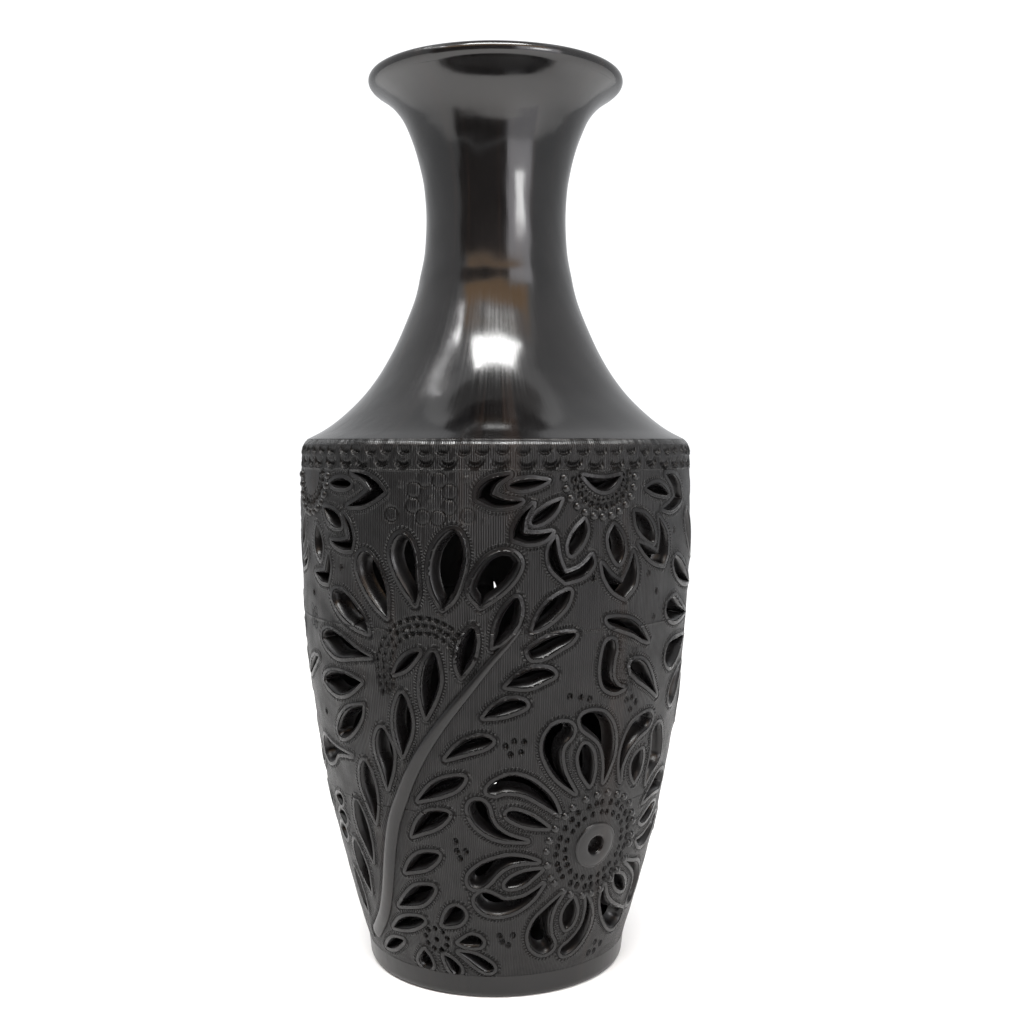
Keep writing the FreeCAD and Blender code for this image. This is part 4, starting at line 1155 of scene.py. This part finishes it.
def spun(name, outer, inner, turns, wave):
    """A closed ring section: outer and inner outlines as rows of (radius, height), bottom to top."""
    outer, inner = np.asarray(outer), np.asarray(inner)
    th = 2 * math.pi * np.arange(turns) / turns
    verts, normals = [], []
    for rows_, sign in ((outer, 1.0), (inner, -1.0)):
        r, z = rows_[:, 0][:, None], rows_[:, 1][:, None]
        d = np.gradient(rows_, axis=0)
        d /= np.linalg.norm(d, axis=1)[:, None] + 1e-9
        nr, nz = d[:, 1][:, None], -d[:, 0][:, None]
        t = th[None]
        if sign > 0 and wave:
            h = wave * waver(t, z)
            dt = (wave * waver(t + 1e-4, z) - wave * waver(t - 1e-4, z)) / 2e-4 / r
            dz = (wave * waver(t, z + 1e-3) - wave * waver(t, z - 1e-3)) / 2e-3
        else:
            h = dt = dz = np.zeros((len(rows_), turns))
        rr, zz = r + nr * h, z + nz * h
        verts.append(np.stack([rr * np.sin(t), -rr * np.cos(t), zz + 0 * t], 2).reshape(-1, 3) * MM)
        radial = np.stack([np.sin(t) * nr, -np.cos(t) * nr, nz + 0 * t], 2)
        along = np.stack([np.sin(t) * d[:, 0][:, None], -np.cos(t) * d[:, 0][:, None], d[:, 1][:, None]
                          + 0 * t], 2)
        around = np.stack([np.cos(t) + 0 * nr, np.sin(t) + 0 * nr, 0 * t + 0 * nr], 2)
        nn = radial - around * dt[..., None] - along * (dz * d[:, 1][:, None])[..., None]
        nn /= np.linalg.norm(nn, axis=2)[..., None]
        normals.append(nn.reshape(-1, 3) * sign)
    n_out = len(outer) * turns

    def sheet(first, many, flip):
        i = np.arange(many - 1)[:, None] * turns
        j = np.arange(turns)[None]
        k = (j + 1) % turns
        q = np.stack([first + i + j, first + i + k, first + i + turns + k, first + i + turns + j],
                     2).reshape(-1, 4)
        return q[:, ::-1] if flip else q

    faces = np.concatenate([sheet(0, len(outer), False), sheet(n_out, len(inner), True)])
    smooth = len(faces)
    j = np.arange(turns)
    k = (j + 1) % turns
    low = np.stack([j, n_out + j, n_out + k, k], 1)
    top_o, top_i = (len(outer) - 1) * turns, n_out + (len(inner) - 1) * turns
    high = np.stack([top_o + j, top_o + k, top_i + k, top_i + j], 1)
    faces = np.concatenate([faces, low, high])
    all_verts = np.concatenate(verts)
    all_normals = np.concatenate(normals)
    ob = make_mesh(name, all_verts, faces.tolist(), sharp=180.0)
    loops_n = all_normals[faces.ravel()]
    for a in range(smooth, len(faces)):
        f = faces[a]
        u = np.cross(all_verts[f[1]] - all_verts[f[0]], all_verts[f[2]] - all_verts[f[0]])
        loops_n[a * 4:a * 4 + 4] = u / (np.linalg.norm(u) + 1e-15)
    ob.data.normals_split_custom_set(loops_n.tolist())
    return ob


def offset_line(rows_, by):
    """An outline moved inwards by a wall thickness."""
    d = np.gradient(rows_, axis=0)
    d /= np.linalg.norm(d, axis=1)[:, None]
    return np.stack([rows_[:, 0] - d[:, 1] * by, rows_[:, 1] + d[:, 0] * by], 1)


neck_rows = profile_rows(NECK_LINE, 1.1)
inner_rows = offset_line(neck_rows, NECK_WALL)
inner_rows[0] = (101.2, 288.8)
BLEND_ROWS = 12
for i in range(1, BLEND_ROWS):
    k = i / BLEND_ROWS
    inner_rows[i] = inner_rows[0] * (1 - k) + inner_rows[BLEND_ROWS] * k
spun_parts = {}
for name, (low, high) in NECK_JOINTS.items():
    take = np.nonzero((neck_rows[:, 1] > low - 1e-6) & (neck_rows[:, 1] < high + 1e-6))[0]
    ob = spun("clay_" + name, neck_rows[take], inner_rows[take], TURNS, 1.0)
    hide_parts(name)
    spun_parts[name] = ob

# rolled lip: starts at the mouth's outer edge, rolls out and over, and runs back down inside
lean = neck_rows[-1] - neck_rows[-2]
lean /= np.linalg.norm(lean)
k = np.linspace(0.0, 1.0, 14)[:, None]
swell = ((1 - k) ** 3 * neck_rows[-1] + 3 * (1 - k) ** 2 * k * (neck_rows[-1] + 1.9 * lean)
         + 3 * (1 - k) * k ** 2 * np.array([RIM_R + RIM_COIL, RIM_Z - 1.9])
         + k ** 3 * np.array([RIM_R + RIM_COIL, RIM_Z]))
a = np.linspace(0.0, math.radians(90.0), 20)[1:]
roll = np.concatenate([swell, np.stack([RIM_R + RIM_COIL * np.cos(a), RIM_Z + RIM_COIL * np.sin(a)], 1)])
top_in = offset_line(neck_rows, NECK_WALL)[-1]
down = profile_rows([(RIM_R, RIM_Z + RIM_COIL), (65.6, 499.6), (64.6, 498.4), tuple(top_in)], 0.6)
ob = spun("clay_rim_coil", roll, down[::-1], TURNS, 0.35)
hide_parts("rim_coil")
spun_parts["rim_coil"] = ob

# foot: flat underside, small rounded heel
heel_rows = profile_rows([(FOOT_R, 0.0), (72.2, 0.9), (72.9, 2.4), (73.2, 4.4), (73.6, 8.0),
                          (float(wall_r(12.0)), 12.0)], 0.7)
floor_rows = profile_rows([(65.95, 12.0), (64.0, 10.4), (58.0, FLOOR_Z), (40.0, FLOOR_Z), (1.0, FLOOR_Z)],
                          2.0)


def lathe(name, outline, turns, smooth_angle=40.0):
    """A solid turned from an outline that starts and ends on the axis."""
    th = 2 * math.pi * np.arange(turns) / turns
    rows_ = np.asarray(outline)[1:-1]
    v = np.stack([rows_[:, 0][:, None] * np.sin(th), -rows_[:, 0][:, None] * np.cos(th),
                  rows_[:, 1][:, None] + 0 * th[None]], 2).reshape(-1, 3)
    v = np.concatenate([v, [[0, 0, outline[0][1]], [0, 0, outline[-1][1]]]]) * MM
    j = np.arange(turns)
    k = (j + 1) % turns
    faces = []
    for i in range(len(rows_) - 1):
        faces += np.stack([i * turns + j, i * turns + k, (i + 1) * turns + k, (i + 1) * turns + j],
                          1).tolist()
    low, high = len(v) - 2, len(v) - 1
    last = (len(rows_) - 1) * turns
    faces += [[low, int(b), int(a)] for a, b in zip(j, k)]
    faces += [[high, last + int(a), last + int(b)] for a, b in zip(j, k)]
    ob = make_mesh(name, v, faces, sharp=smooth_angle)
    return ob


outline = [(0.0, 0.0), (20.0, 0.0), (45.0, 0.0), (64.0, 0.0)]
outline += heel_rows.tolist() + floor_rows.tolist() + [(0.0, FLOOR_Z)]
foot = lathe("clay_base_bowl", outline, TURNS)
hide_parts("base_bowl")

# ---------------------------------------------------------------- applied clay: beads, boss, stem
def on_wall_frame(turn, z):
    """A point on the wall, and the directions right, up and out from it."""
    t = math.radians(turn)
    r, zz, nr, nz = (float(v) for v in side_point(z))
    out = np.array([nr * math.sin(t), -nr * math.cos(t), nz])
    right = np.array([math.cos(t), math.sin(t), 0.0])
    up = np.cross(out, right)
    return np.array([r * math.sin(t), -r * math.cos(t), zz]), right, up, out


def bead_mesh(turn, z, radius):
    """Half a flattened ball pressed onto the wall."""
    at, right, up, out = on_wall_frame(turn, z)
    v, f = [], []
    levels, segs = 6, 16
    for i in range(levels):
        a = 0.5 * math.pi * i / levels
        for j in range(segs):
            b = 2 * math.pi * j / segs
            v.append(at + radius * math.cos(a) * (right * math.cos(b) + up * math.sin(b))
                     + out * (0.86 * radius * math.sin(a) - 0.3))
    for j in range(segs):
        b = 2 * math.pi * j / segs
        v.append(at + radius * 0.95 * (right * math.cos(b) + up * math.sin(b)) - out * 1.2)
    v.append(at + out * (0.86 * radius - 0.3))
    v.append(at - out * 1.2)
    for i in range(levels - 1):
        for j in range(segs):
            k = (j + 1) % segs
            f.append([i * segs + j, i * segs + k, (i + 1) * segs + k, (i + 1) * segs + j])
    for j in range(segs):
        k = (j + 1) % segs
        f.append([(levels - 1) * segs + j, (levels - 1) * segs + k, (levels + 1) * segs])
        f.append([levels * segs + j, levels * segs + k, k, j])
        f.append([(levels + 1) * segs + 1, levels * segs + k, levels * segs + j])
    return np.array(v), f


def bead_group(name, wanted, node):
    verts, faces = [], []
    start = 0
    for t, z, r, turn, kind in wanted:
        v, f = bead_mesh(t, z, r)
        verts.append(v)
        faces += [[i + start for i in g] for g in f]
        start += len(v)
    ob = make_mesh(name, np.concatenate(verts) * MM, faces, sharp=50.0)
    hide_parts(node)
    return ob


relief_parts = []
for label, turn in (("front", 0.0), ("back", BACK)):
    relief_parts.append(bead_group("clay_flower_beads_" + label, [b for b in beads if b[4] == "flower"
                                                                  and b[3] == turn],
                                   "flower_beads_" + label))
for i, turn in enumerate(HANGING_TURNS):
    relief_parts.append(bead_group("clay_hanging_beads_%d" % (i + 1), [b for b in beads
                                                                       if b[4] == "hanging"
                                                                       and b[3] == turn],
                                   "hanging_beads_%d" % (i + 1)))

for label, turn in (("front", 0.0), ("back", BACK)):
    # the flower's heart: a low disc with a hole
    section = [(5.05, -1.0), (5.05, 0.25), (5.5, 0.8), (6.4, 1.0), (8.6, 1.05), (10.6, 1.0), (11.0, 0.85),
               (11.25, 0.78), (11.5, 0.85),
               (11.9, 0.9), (12.5, 0.62), (12.8, -0.1), (12.8, -1.0)]
    segs = 72
    v, f = [], []
    for rad, h in section:
        for j in range(segs):
            a = 2 * math.pi * j / segs
            t_, z_ = polar(turn + HEART_TURN, HEART_Z, math.degrees(a),
                           rad * (1 + 0.012 * math.sin(3 * a + 1)))
            v.append(outer_xyz(np.array([math.radians(t_)]), np.array([z_]), np.array([h]))[0])
    n = len(section)
    for i in range(n):
        m = (i + 1) % n
        for j in range(segs):
            k = (j + 1) % segs
            f.append([i * segs + j, m * segs + j, m * segs + k, i * segs + k])
    f = [g[::-1] for g in f]
    ob = make_mesh("clay_flower_boss_" + label, np.array(v), f, sharp=50.0)
    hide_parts("flower_boss_" + label)
    relief_parts.append(ob)

    # the spray's stem: a smooth band laid on the wall, tapering upwards
    line = np.stack([np.radians(stem_line[:, 0]) * STEM_R, stem_line[:, 1]], 1)
    seg = np.concatenate([[0], np.cumsum(np.linalg.norm(np.diff(line, axis=0), axis=1))])
    along = np.linspace(0, seg[-1], 260)
    px, pz = np.interp(along, seg, line[:, 0]), np.interp(along, seg, line[:, 1])
    half = np.interp(along, seg, stem_half)
    taper = np.clip(np.minimum(along / 5.0, (seg[-1] - along) / 14.0), 0.05, 1)
    d = np.stack([np.gradient(px), np.gradient(pz)], 1)
    d /= np.linalg.norm(d, axis=1)[:, None]
    across = np.stack([d[:, 1], -d[:, 0]], 1)
    v, f = [], []
    m = 15
    us = np.sin(np.linspace(-0.5 * math.pi, 0.5 * math.pi, m))
    for i in range(len(along)):
        w = half[i] * (0.55 + 0.45 * taper[i])
        for u in us:
            h = (1.75 * (1 - abs(u) ** 2.2) ** 0.6) * taper[i] * (0.55 + 0.45 * min(1, half[i] / 3.6))
            v.append((px[i] + across[i, 0] * u * w, pz[i] + across[i, 1] * u * w, h))
        for u in (0.8, -0.8):
            v.append((px[i] + across[i, 0] * u * w, pz[i] + across[i, 1] * u * w, -1.3))
    v = np.array(v)
    row_n = m + 2
    for i in range(len(along) - 1):
        for j in range(row_n):
            k = (j + 1) % row_n
            f.append([i * row_n + j, i * row_n + k, (i + 1) * row_n + k, (i + 1) * row_n + j])
    f.append(list(range(row_n))[::-1])
    f.append([(len(along) - 1) * row_n + j for j in range(row_n)])
    xyz = outer_xyz(v[:, 0] / STEM_R + math.radians(turn), v[:, 1], v[:, 2])
    ob = make_mesh("clay_spray_stem_" + label, xyz, f, sharp=55.0)
    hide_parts("spray_stem_" + label)
    relief_parts.append(ob)

# ---------------------------------------------------------------- the carved wall's pieces
def group_normals(faces, verts):
    """Smooth normals over a set of faces that may span pieces."""
    acc = np.zeros_like(verts)
    f3 = [f for f in faces if len(f) == 3]
    f4 = [f for f in faces if len(f) == 4]
    for group in (f3, f4):
        if not group:
            continue
        g = np.array(group)
        u = np.cross(verts[g[:, 2]] - verts[g[:, 0]], verts[g[:, -1]] - verts[g[:, 1]]
                     if g.shape[1] == 4 else verts[g[:, 1]] - verts[g[:, 0]])
        if g.shape[1] == 3:
            u = -u
        for c in range(g.shape[1]):
            np.add.at(acc, g[:, c], u)
    return acc


smooth_faces = []
for name, faces, values in wall_parts:
    zone = values["zone"]
    pos = 0
    for face in faces:
        if zone[pos] < 1.5 and values["edge_d"][pos] > -6.0:
            smooth_faces.append(face)
        pos += len(face)
outer_n = group_normals(smooth_faces, points)
outer_n /= np.linalg.norm(outer_n, axis=1)[:, None] + 1e-20

wall_objects = []
for name, faces, values in wall_parts:
    ob = make_mesh("clay_" + name, points, faces, corner=values, sharp=180.0)
    flat_loops = np.concatenate([np.asarray(f, int) for f in faces])
    zone = np.array(values["zone"])
    use = (zone < 1.5) & (np.array(values["edge_d"]) > -6.0)
    n = np.zeros((len(flat_loops), 3))
    n[use] = outer_n[flat_loops[use]]
    loop_n = np.zeros(len(ob.data.loops) * 3)
    ob.data.corner_normals.foreach_get("vector", loop_n)
    loop_n = loop_n.reshape(-1, 3)
    loop_n[use] = n[use]
    ob.data.normals_split_custom_set(loop_n.tolist())
    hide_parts(name)
    wall_objects.append(ob)

# ---------------------------------------------------------------- materials
class Nodes:
    """Small helper to wire shader nodes."""

    def __init__(self, name):
        self.mat = bpy.data.materials.new(name)
        self.mat.use_nodes = True
        self.tree = self.mat.node_tree
        self.bsdf = self.tree.nodes["Principled BSDF"]

    def node(self, kind, **settings):
        n = self.tree.nodes.new(kind)
        for key, value in settings.items():
            setattr(n, key, value)
        return n

    def put(self, socket, value):
        if isinstance(value, bpy.types.NodeSocket):
            self.tree.links.new(value, socket)
        else:
            socket.default_value = value

    def math(self, op, a, b=0.0, c=None):
        n = self.node("ShaderNodeMath", operation=op)
        self.put(n.inputs[0], a)
        self.put(n.inputs[1], b)
        if c is not None:
            self.put(n.inputs[2], c)
        return n.outputs[0]

    def ramp(self, value, lo, hi, to_lo=0.0, to_hi=1.0, smooth=True):
        n = self.node("ShaderNodeMapRange", interpolation_type="SMOOTHSTEP" if smooth else "LINEAR")
        self.put(n.inputs["Value"], value)
        n.inputs["From Min"].default_value = lo
        n.inputs["From Max"].default_value = hi
        n.inputs["To Min"].default_value = to_lo
        n.inputs["To Max"].default_value = to_hi
        return n.outputs["Result"]

    def noise(self, scale, detail=3.0, rough=0.55, vector=None, distort=0.0):
        n = self.node("ShaderNodeTexNoise")
        n.inputs["Scale"].default_value = scale
        n.inputs["Detail"].default_value = detail
        n.inputs["Roughness"].default_value = rough
        n.inputs["Distortion"].default_value = distort
        self.put(n.inputs["Vector"], vector if vector is not None else self.where)
        return n.outputs["Fac"]

    def attribute(self, name):
        n = self.node("ShaderNodeAttribute", attribute_name=name)
        return n.outputs["Fac"]

    def mix(self, fac, a, b):
        n = self.node("ShaderNodeMix", data_type="RGBA")
        self.put(n.inputs[0], fac)
        self.put(n.inputs[6], a)
        self.put(n.inputs[7], b)
        return n.outputs[2]

    def begin(self):
        co = self.node("ShaderNodeTexCoord")
        self.where = co.outputs["Object"]
        sep = self.node("ShaderNodeSeparateXYZ")
        self.tree.links.new(self.where, sep.inputs[0])
        self.x, self.y, self.z = sep.outputs
        self.turn = self.math("ARCTAN2", self.x, self.math("MULTIPLY", self.y, -1.0))

    def bump(self, height, distance, strength=1.0, normal=None):
        n = self.node("ShaderNodeBump")
        n.inputs["Distance"].default_value = distance
        n.inputs["Strength"].default_value = strength
        self.put(n.inputs["Height"], height)
        if normal is not None:
            self.put(n.inputs["Normal"], normal)
        return n.outputs[0]

    def swept(self, around, up):
        """Coordinates stretched along the direction the stone or comb was drawn."""
        n = self.node("ShaderNodeCombineXYZ")
        self.put(n.inputs[0], self.math("MULTIPLY", self.math("SINE", self.turn), around))
        self.put(n.inputs[1], self.math("MULTIPLY", self.math("COSINE", self.turn), around))
        self.put(n.inputs[2], self.math("MULTIPLY", self.z, up))
        return n.outputs[0]


def clay(name, polished):
    m = Nodes(name)
    m.begin()
    patch = m.noise(16.0, 4.0)
    fine = m.noise(420.0, 4.0, 0.6)
    grain = m.noise(1500.0, 2.0, 0.6)
    dark = (0.0020, 0.0019, 0.0020, 1.0)
    light = (0.0052, 0.0047, 0.0047, 1.0)
    brown = (0.0125, 0.0078, 0.0058, 1.0)
    colour = m.mix(m.ramp(patch, 0.35, 0.7), dark, light)
    colour = m.mix(m.ramp(m.noise(9.0, 3.0, vector=m.swept(1.0, 0.6)), 0.56, 0.75, 0.0, 0.55), colour,
                   brown)
    if polished == "carved":
        zone = m.attribute("zone")
        d = m.attribute("edge_d")
        s = m.attribute("edge_s")
        hatch = m.attribute("hatch")
        outer = m.ramp(zone, 0.05, 0.4, 1.0, 0.0)
        # comb strokes drawn up the wall
        warp = m.math("MULTIPLY", m.math("SUBTRACT", m.noise(14.0, 2.0), 0.5), 5.0)
        warp2 = m.math("MULTIPLY", m.math("SUBTRACT", m.noise(60.0, 2.0, vector=m.swept(1.0, 0.25)), 0.5),
                       1.6)
        lines = m.math("SINE", m.math("ADD", m.math("MULTIPLY", m.turn, 2 * math.pi * 92.0),
                                      m.math("ADD", warp, warp2)))
        comb = m.math("MULTIPLY", m.math("POWER", m.math("MULTIPLY_ADD", lines, 0.5, 0.5), 1.6),
                      m.math("MULTIPLY", outer, m.ramp(d, 2.4, 3.6)))
        comb = m.math("MULTIPLY", comb, m.ramp(m.noise(45.0, 2.0, vector=m.swept(1.0, 0.35)), 0.3, 0.55,
                                               0.45, 1.0))
        # short strokes pressed round every opening
        teeth = m.math("SINE", m.math("MULTIPLY", m.math("ADD", s, m.math("MULTIPLY", d, 0.16)),
                                      2 * math.pi))
        teeth = m.math("POWER", m.math("MULTIPLY_ADD", teeth, 0.5, 0.5), 1.4)
        band = m.math("MULTIPLY", m.math("MULTIPLY", m.ramp(d, 2.1, 2.6), m.ramp(d, 3.5, 4.2, 1.0, 0.0)),
                      m.math("MULTIPLY", outer, hatch))
        rope = m.math("MULTIPLY", teeth, band)
        cut = m.math("MULTIPLY", m.math("MULTIPLY", m.ramp(d, 1.75, 2.05), m.ramp(d, 2.2, 2.6, 1.0, 0.0)),
                     outer)
        lip = m.math("MULTIPLY", m.ramp(d, 1.9, 2.3, 1.0, 0.0), m.ramp(zone, 1.2, 1.6, 1.0, 0.0))
        height = m.math("ADD", m.math("MULTIPLY", comb, 0.25), m.math("MULTIPLY", rope, 1.2))
        height = m.math("SUBTRACT", height, m.math("MULTIPLY", cut, 0.45))
        height = m.math("ADD", height, m.math("MULTIPLY", fine, 0.08))
        height = m.math("ADD", height, m.math("MULTIPLY", grain, 0.025))
        normal = m.bump(height, 0.001, 0.9)
        edge = m.ramp(m.z, 0.2932, 0.2944)
        comb = m.math("MULTIPLY", comb, m.math("SUBTRACT", 1.0, edge))
        colour = m.mix(m.math("MULTIPLY", lip, 0.5), colour, (0.0050, 0.0047, 0.0050, 1.0))
        rough = m.math("ADD", m.ramp(m.noise(70.0, 3.0), 0.3, 0.7, 0.36, 0.50),
                       m.math("MULTIPLY", lip, -0.12))
        rough = m.math("ADD", rough, m.math("MULTIPLY", rope, 0.05))
        rough = m.math("ADD", rough, m.ramp(zone, 1.5, 1.9, 0.0, 0.25))
        rough = m.math("SUBTRACT", rough, m.math("MULTIPLY", edge, 0.26))
        shine = m.math("ADD", m.math("MULTIPLY", lip, 0.10), m.math("MULTIPLY_ADD", edge, 0.22, 0.24))
        # Painted light in the reflection level: raised comb ridges and rope strokes reflect more (painted
        # sheen), while cut grooves and the band between strokes reflect less (painted shade).
        raised = m.math("MULTIPLY_ADD", comb, 0.6, m.math("MULTIPLY", rope, 0.9))
        shine = m.math("MULTIPLY", shine, m.ramp(raised, 0.0, 0.6, 0.74, 1.32))
        groove_painted_shade = m.math("MAXIMUM", cut, m.math("SUBTRACT", band, rope))
        shine = m.math("MULTIPLY", shine, m.math("MULTIPLY_ADD", groove_painted_shade, -0.55, 1.0))
        patchy = m.ramp(m.noise(30.0, 2.0, vector=m.swept(1.0, 0.2)), 0.35, 0.6, 0.35, 1.5)
        edge_gain = m.math("ADD", m.math("SUBTRACT", 1.0, edge), m.math("MULTIPLY", edge, patchy))
        shine = m.math("MULTIPLY", shine, edge_gain)
        m.put(m.bsdf.inputs["Specular IOR Level"], shine)
    else:
        strokes = m.noise(60.0, 3.0, vector=m.swept(1.6, 0.12))
        streak = m.noise(240.0, 2.0, vector=m.swept(1.0, 0.06))
        # the stone rode unevenly over one side of the shoulder
        ridden = m.math("MULTIPLY", m.ramp(m.z, 0.35, 0.385, 1.0, 0.15),
                        m.ramp(m.turn, -0.52, -0.36, 0.34, 0.05))
        hollow = m.math("MULTIPLY", m.noise(105.0, 1.5, 0.5), ridden)
        height = m.math("ADD", m.math("MULTIPLY", strokes, 0.026), m.math("MULTIPLY", streak, 0.007))
        height = m.math("ADD", height, hollow)
        height = m.math("ADD", height, m.math("MULTIPLY", fine, 0.012))
        normal = m.bump(height, 0.001, 0.55 if polished == "burnished" else 0.8)
        base = 0.085 if polished == "burnished" else 0.26
        rough = m.math("ADD", m.ramp(strokes, 0.3, 0.7, base, base + 0.07),
                       m.ramp(patch, 0.3, 0.7, 0.0, 0.05))
        rough = m.math("ADD", rough, m.ramp(grain, 0.62, 0.8, 0.0, 0.12))
    m.put(m.bsdf.inputs["Base Color"], colour)
    m.put(m.bsdf.inputs["Roughness"], rough)
    m.put(m.bsdf.inputs["Normal"], normal)
    if polished == "relief":
        m.bsdf.inputs["Specular IOR Level"].default_value = 0.32
    m.bsdf.inputs["IOR"].default_value = 1.56
    return m.mat


carved = clay("carved_black_clay", "carved")
burnished = clay("burnished_black_clay", "burnished")
relief_clay = clay("polished_relief_clay", "relief")
for ob in wall_objects:
    ob.data.materials.append(carved)
for ob in spun_parts.values():
    ob.data.materials.append(burnished)
for ob in relief_parts + [foot]:
    ob.data.materials.append(relief_clay)

# ---------------------------------------------------------------- studio
def emit(name, colour, strength):
    """A glowing material for a studio card."""
    mat = bpy.data.materials.new(name)
    mat.use_nodes = True
    mat.node_tree.nodes.remove(mat.node_tree.nodes["Principled BSDF"])
    n = mat.node_tree.nodes.new("ShaderNodeEmission")
    n.inputs["Color"].default_value = (*colour, 1.0)
    n.inputs["Strength"].default_value = strength
    mat.node_tree.links.new(n.outputs[0], mat.node_tree.nodes["Material Output"].inputs["Surface"])
    return mat


def stage_mesh(name, verts, faces, mat, seen=False):
    me = bpy.data.meshes.new(name)
    me.from_pydata(verts, [], faces)
    me.materials.append(mat)
    ob = bpy.data.objects.new(name, me)
    bpy.context.collection.objects.link(ob)
    ob.visible_camera = seen
    return ob


def card(name, corners, mat, steps=12):
    """A reflector or light patch far round the jar, given by corner directions (azimuth, elevation)."""
    n = steps
    (a0, e0), (a1, e1), (a2, e2), (a3, e3) = corners
    v, f = [], []
    for i in range(n + 1):
        for j in range(n + 1):
            u, w = i / n, j / n
            a = math.radians((a0 * (1 - u) + a1 * u) * (1 - w) + (a3 * (1 - u) + a2 * u) * w)
            e = math.radians((e0 * (1 - u) + e1 * u) * (1 - w) + (e3 * (1 - u) + e2 * u) * w)
            v.append((1.6 * math.cos(e) * math.sin(a), -1.6 * math.cos(e) * math.cos(a), 0.3
                      + 1.6 * math.sin(e)))
    for i in range(n):
        for j in range(n):
            f.append((i * (n + 1) + j, (i + 1) * (n + 1) + j, (i + 1) * (n + 1) + j + 1, i * (n + 1) + j
                      + 1))
    return stage_mesh(name, v, f, mat)


def reflected_only(ob):
    """Keep a card to what the burnished clay mirrors, so the light on the floor stays even."""
    ob.visible_diffuse = False
    ob.visible_shadow = False
    return ob


def ground(name, a0, a1, r0, r1, mat, steps=16):
    """A patch lying on the floor in front of the jar."""
    v, f = [], []
    for i in range(steps + 1):
        a = math.radians(a0 + (a1 - a0) * i / steps)
        v += [(r * math.sin(a), -r * math.cos(a), 0.001) for r in (r0, r1)]
    for i in range(steps):
        f.append((2 * i, 2 * i + 1, 2 * i + 3, 2 * i + 2))
    return reflected_only(stage_mesh(name, v, f, mat))


def window(a0, a1, e0, e1):
    """Corners of a card from its azimuths and elevations in degrees."""
    return [(a0, e0), (a1, e0), (a1, e1), (a0, e1)]


world = bpy.data.worlds.new("studio")
bpy.context.scene.world = world
world.use_nodes = True
world.node_tree.nodes["Background"].inputs["Color"].default_value = (0.985, 0.99, 1.0, 1.0)
world.node_tree.nodes["Background"].inputs["Strength"].default_value = 1.15

dark = emit("card_dark", (1.0, 0.90, 0.86), 0.12)
card("stage_dark_front", window(-57, 18, -9, 32), dark)
ground("stage_dark_ground", -57, 18, 0.90, 1.585, dark)
card("stage_strip_right", window(18, 56, -9, 32), emit("strip_right", (0.98, 0.96, 1.0), 3.2))
ground("stage_strip_ground", 18, 56, 0.90, 1.585, emit("strip_ground", (0.98, 0.96, 1.0), 1.9))
reflected_only(card("stage_surround", window(57, 302, -9, 62), emit("surround", (0.97, 0.98, 1.0), 0.72),
                    36))
hot = card("stage_hot_right", [(30, 2), (44, 2), (46, 19), (32, 19)], emit("hot_right", (1.0, 1.0, 1.0),
                                                                           15.0))
hot.scale = (0.985, 0.985, 0.985)
card("stage_wood", window(-47, 48, 33, 48), emit("wood", (1.0, 0.64, 0.36), 1.9))
card("stage_top_box", window(-36, 36, 53.5, 66), emit("top_box", (1.0, 1.0, 0.99), 28.0))
card("stage_left_strip", [(-50, 45.5), (-98, 56), (-103, 63.5), (-57, 52)],
     emit("left_strip", (1.0, 1.0, 1.0), 34.0))
card("stage_ceiling", window(-180, 180, 70, 89.9), emit("ceiling", (1.0, 0.98, 0.97), 0.35), 40)

floor_mat = bpy.data.materials.new("pale_floor")
floor_mat.use_nodes = True
floor_mat.node_tree.nodes["Principled BSDF"].inputs["Base Color"].default_value = (0.93, 0.93, 0.93, 1.0)
floor_mat.node_tree.nodes["Principled BSDF"].inputs["Roughness"].default_value = 0.6
FLOOR_HALF, BELOW = 80, -0.0003
floor_corners = [(x * FLOOR_HALF, y * FLOOR_HALF, BELOW) for x, y in ((-1, -1), (1, -1), (1, 1), (-1, 1))]
stage_mesh("stage_floor", floor_corners, [(0, 1, 2, 3)], floor_mat, seen=True)

cam_data = bpy.data.cameras.new("camera")
cam_data.lens = 45.0
cam_data.sensor_width = 36.0
cam = bpy.data.objects.new("camera", cam_data)
bpy.context.collection.objects.link(cam)
cam.location = [v * MM for v in CAMERA]
cam.rotation_euler = (math.radians(90.0 - 3.22), 0.0, math.radians(-0.716))
bpy.context.scene.camera = cam
bpy.context.scene.view_settings.view_transform = "Standard"
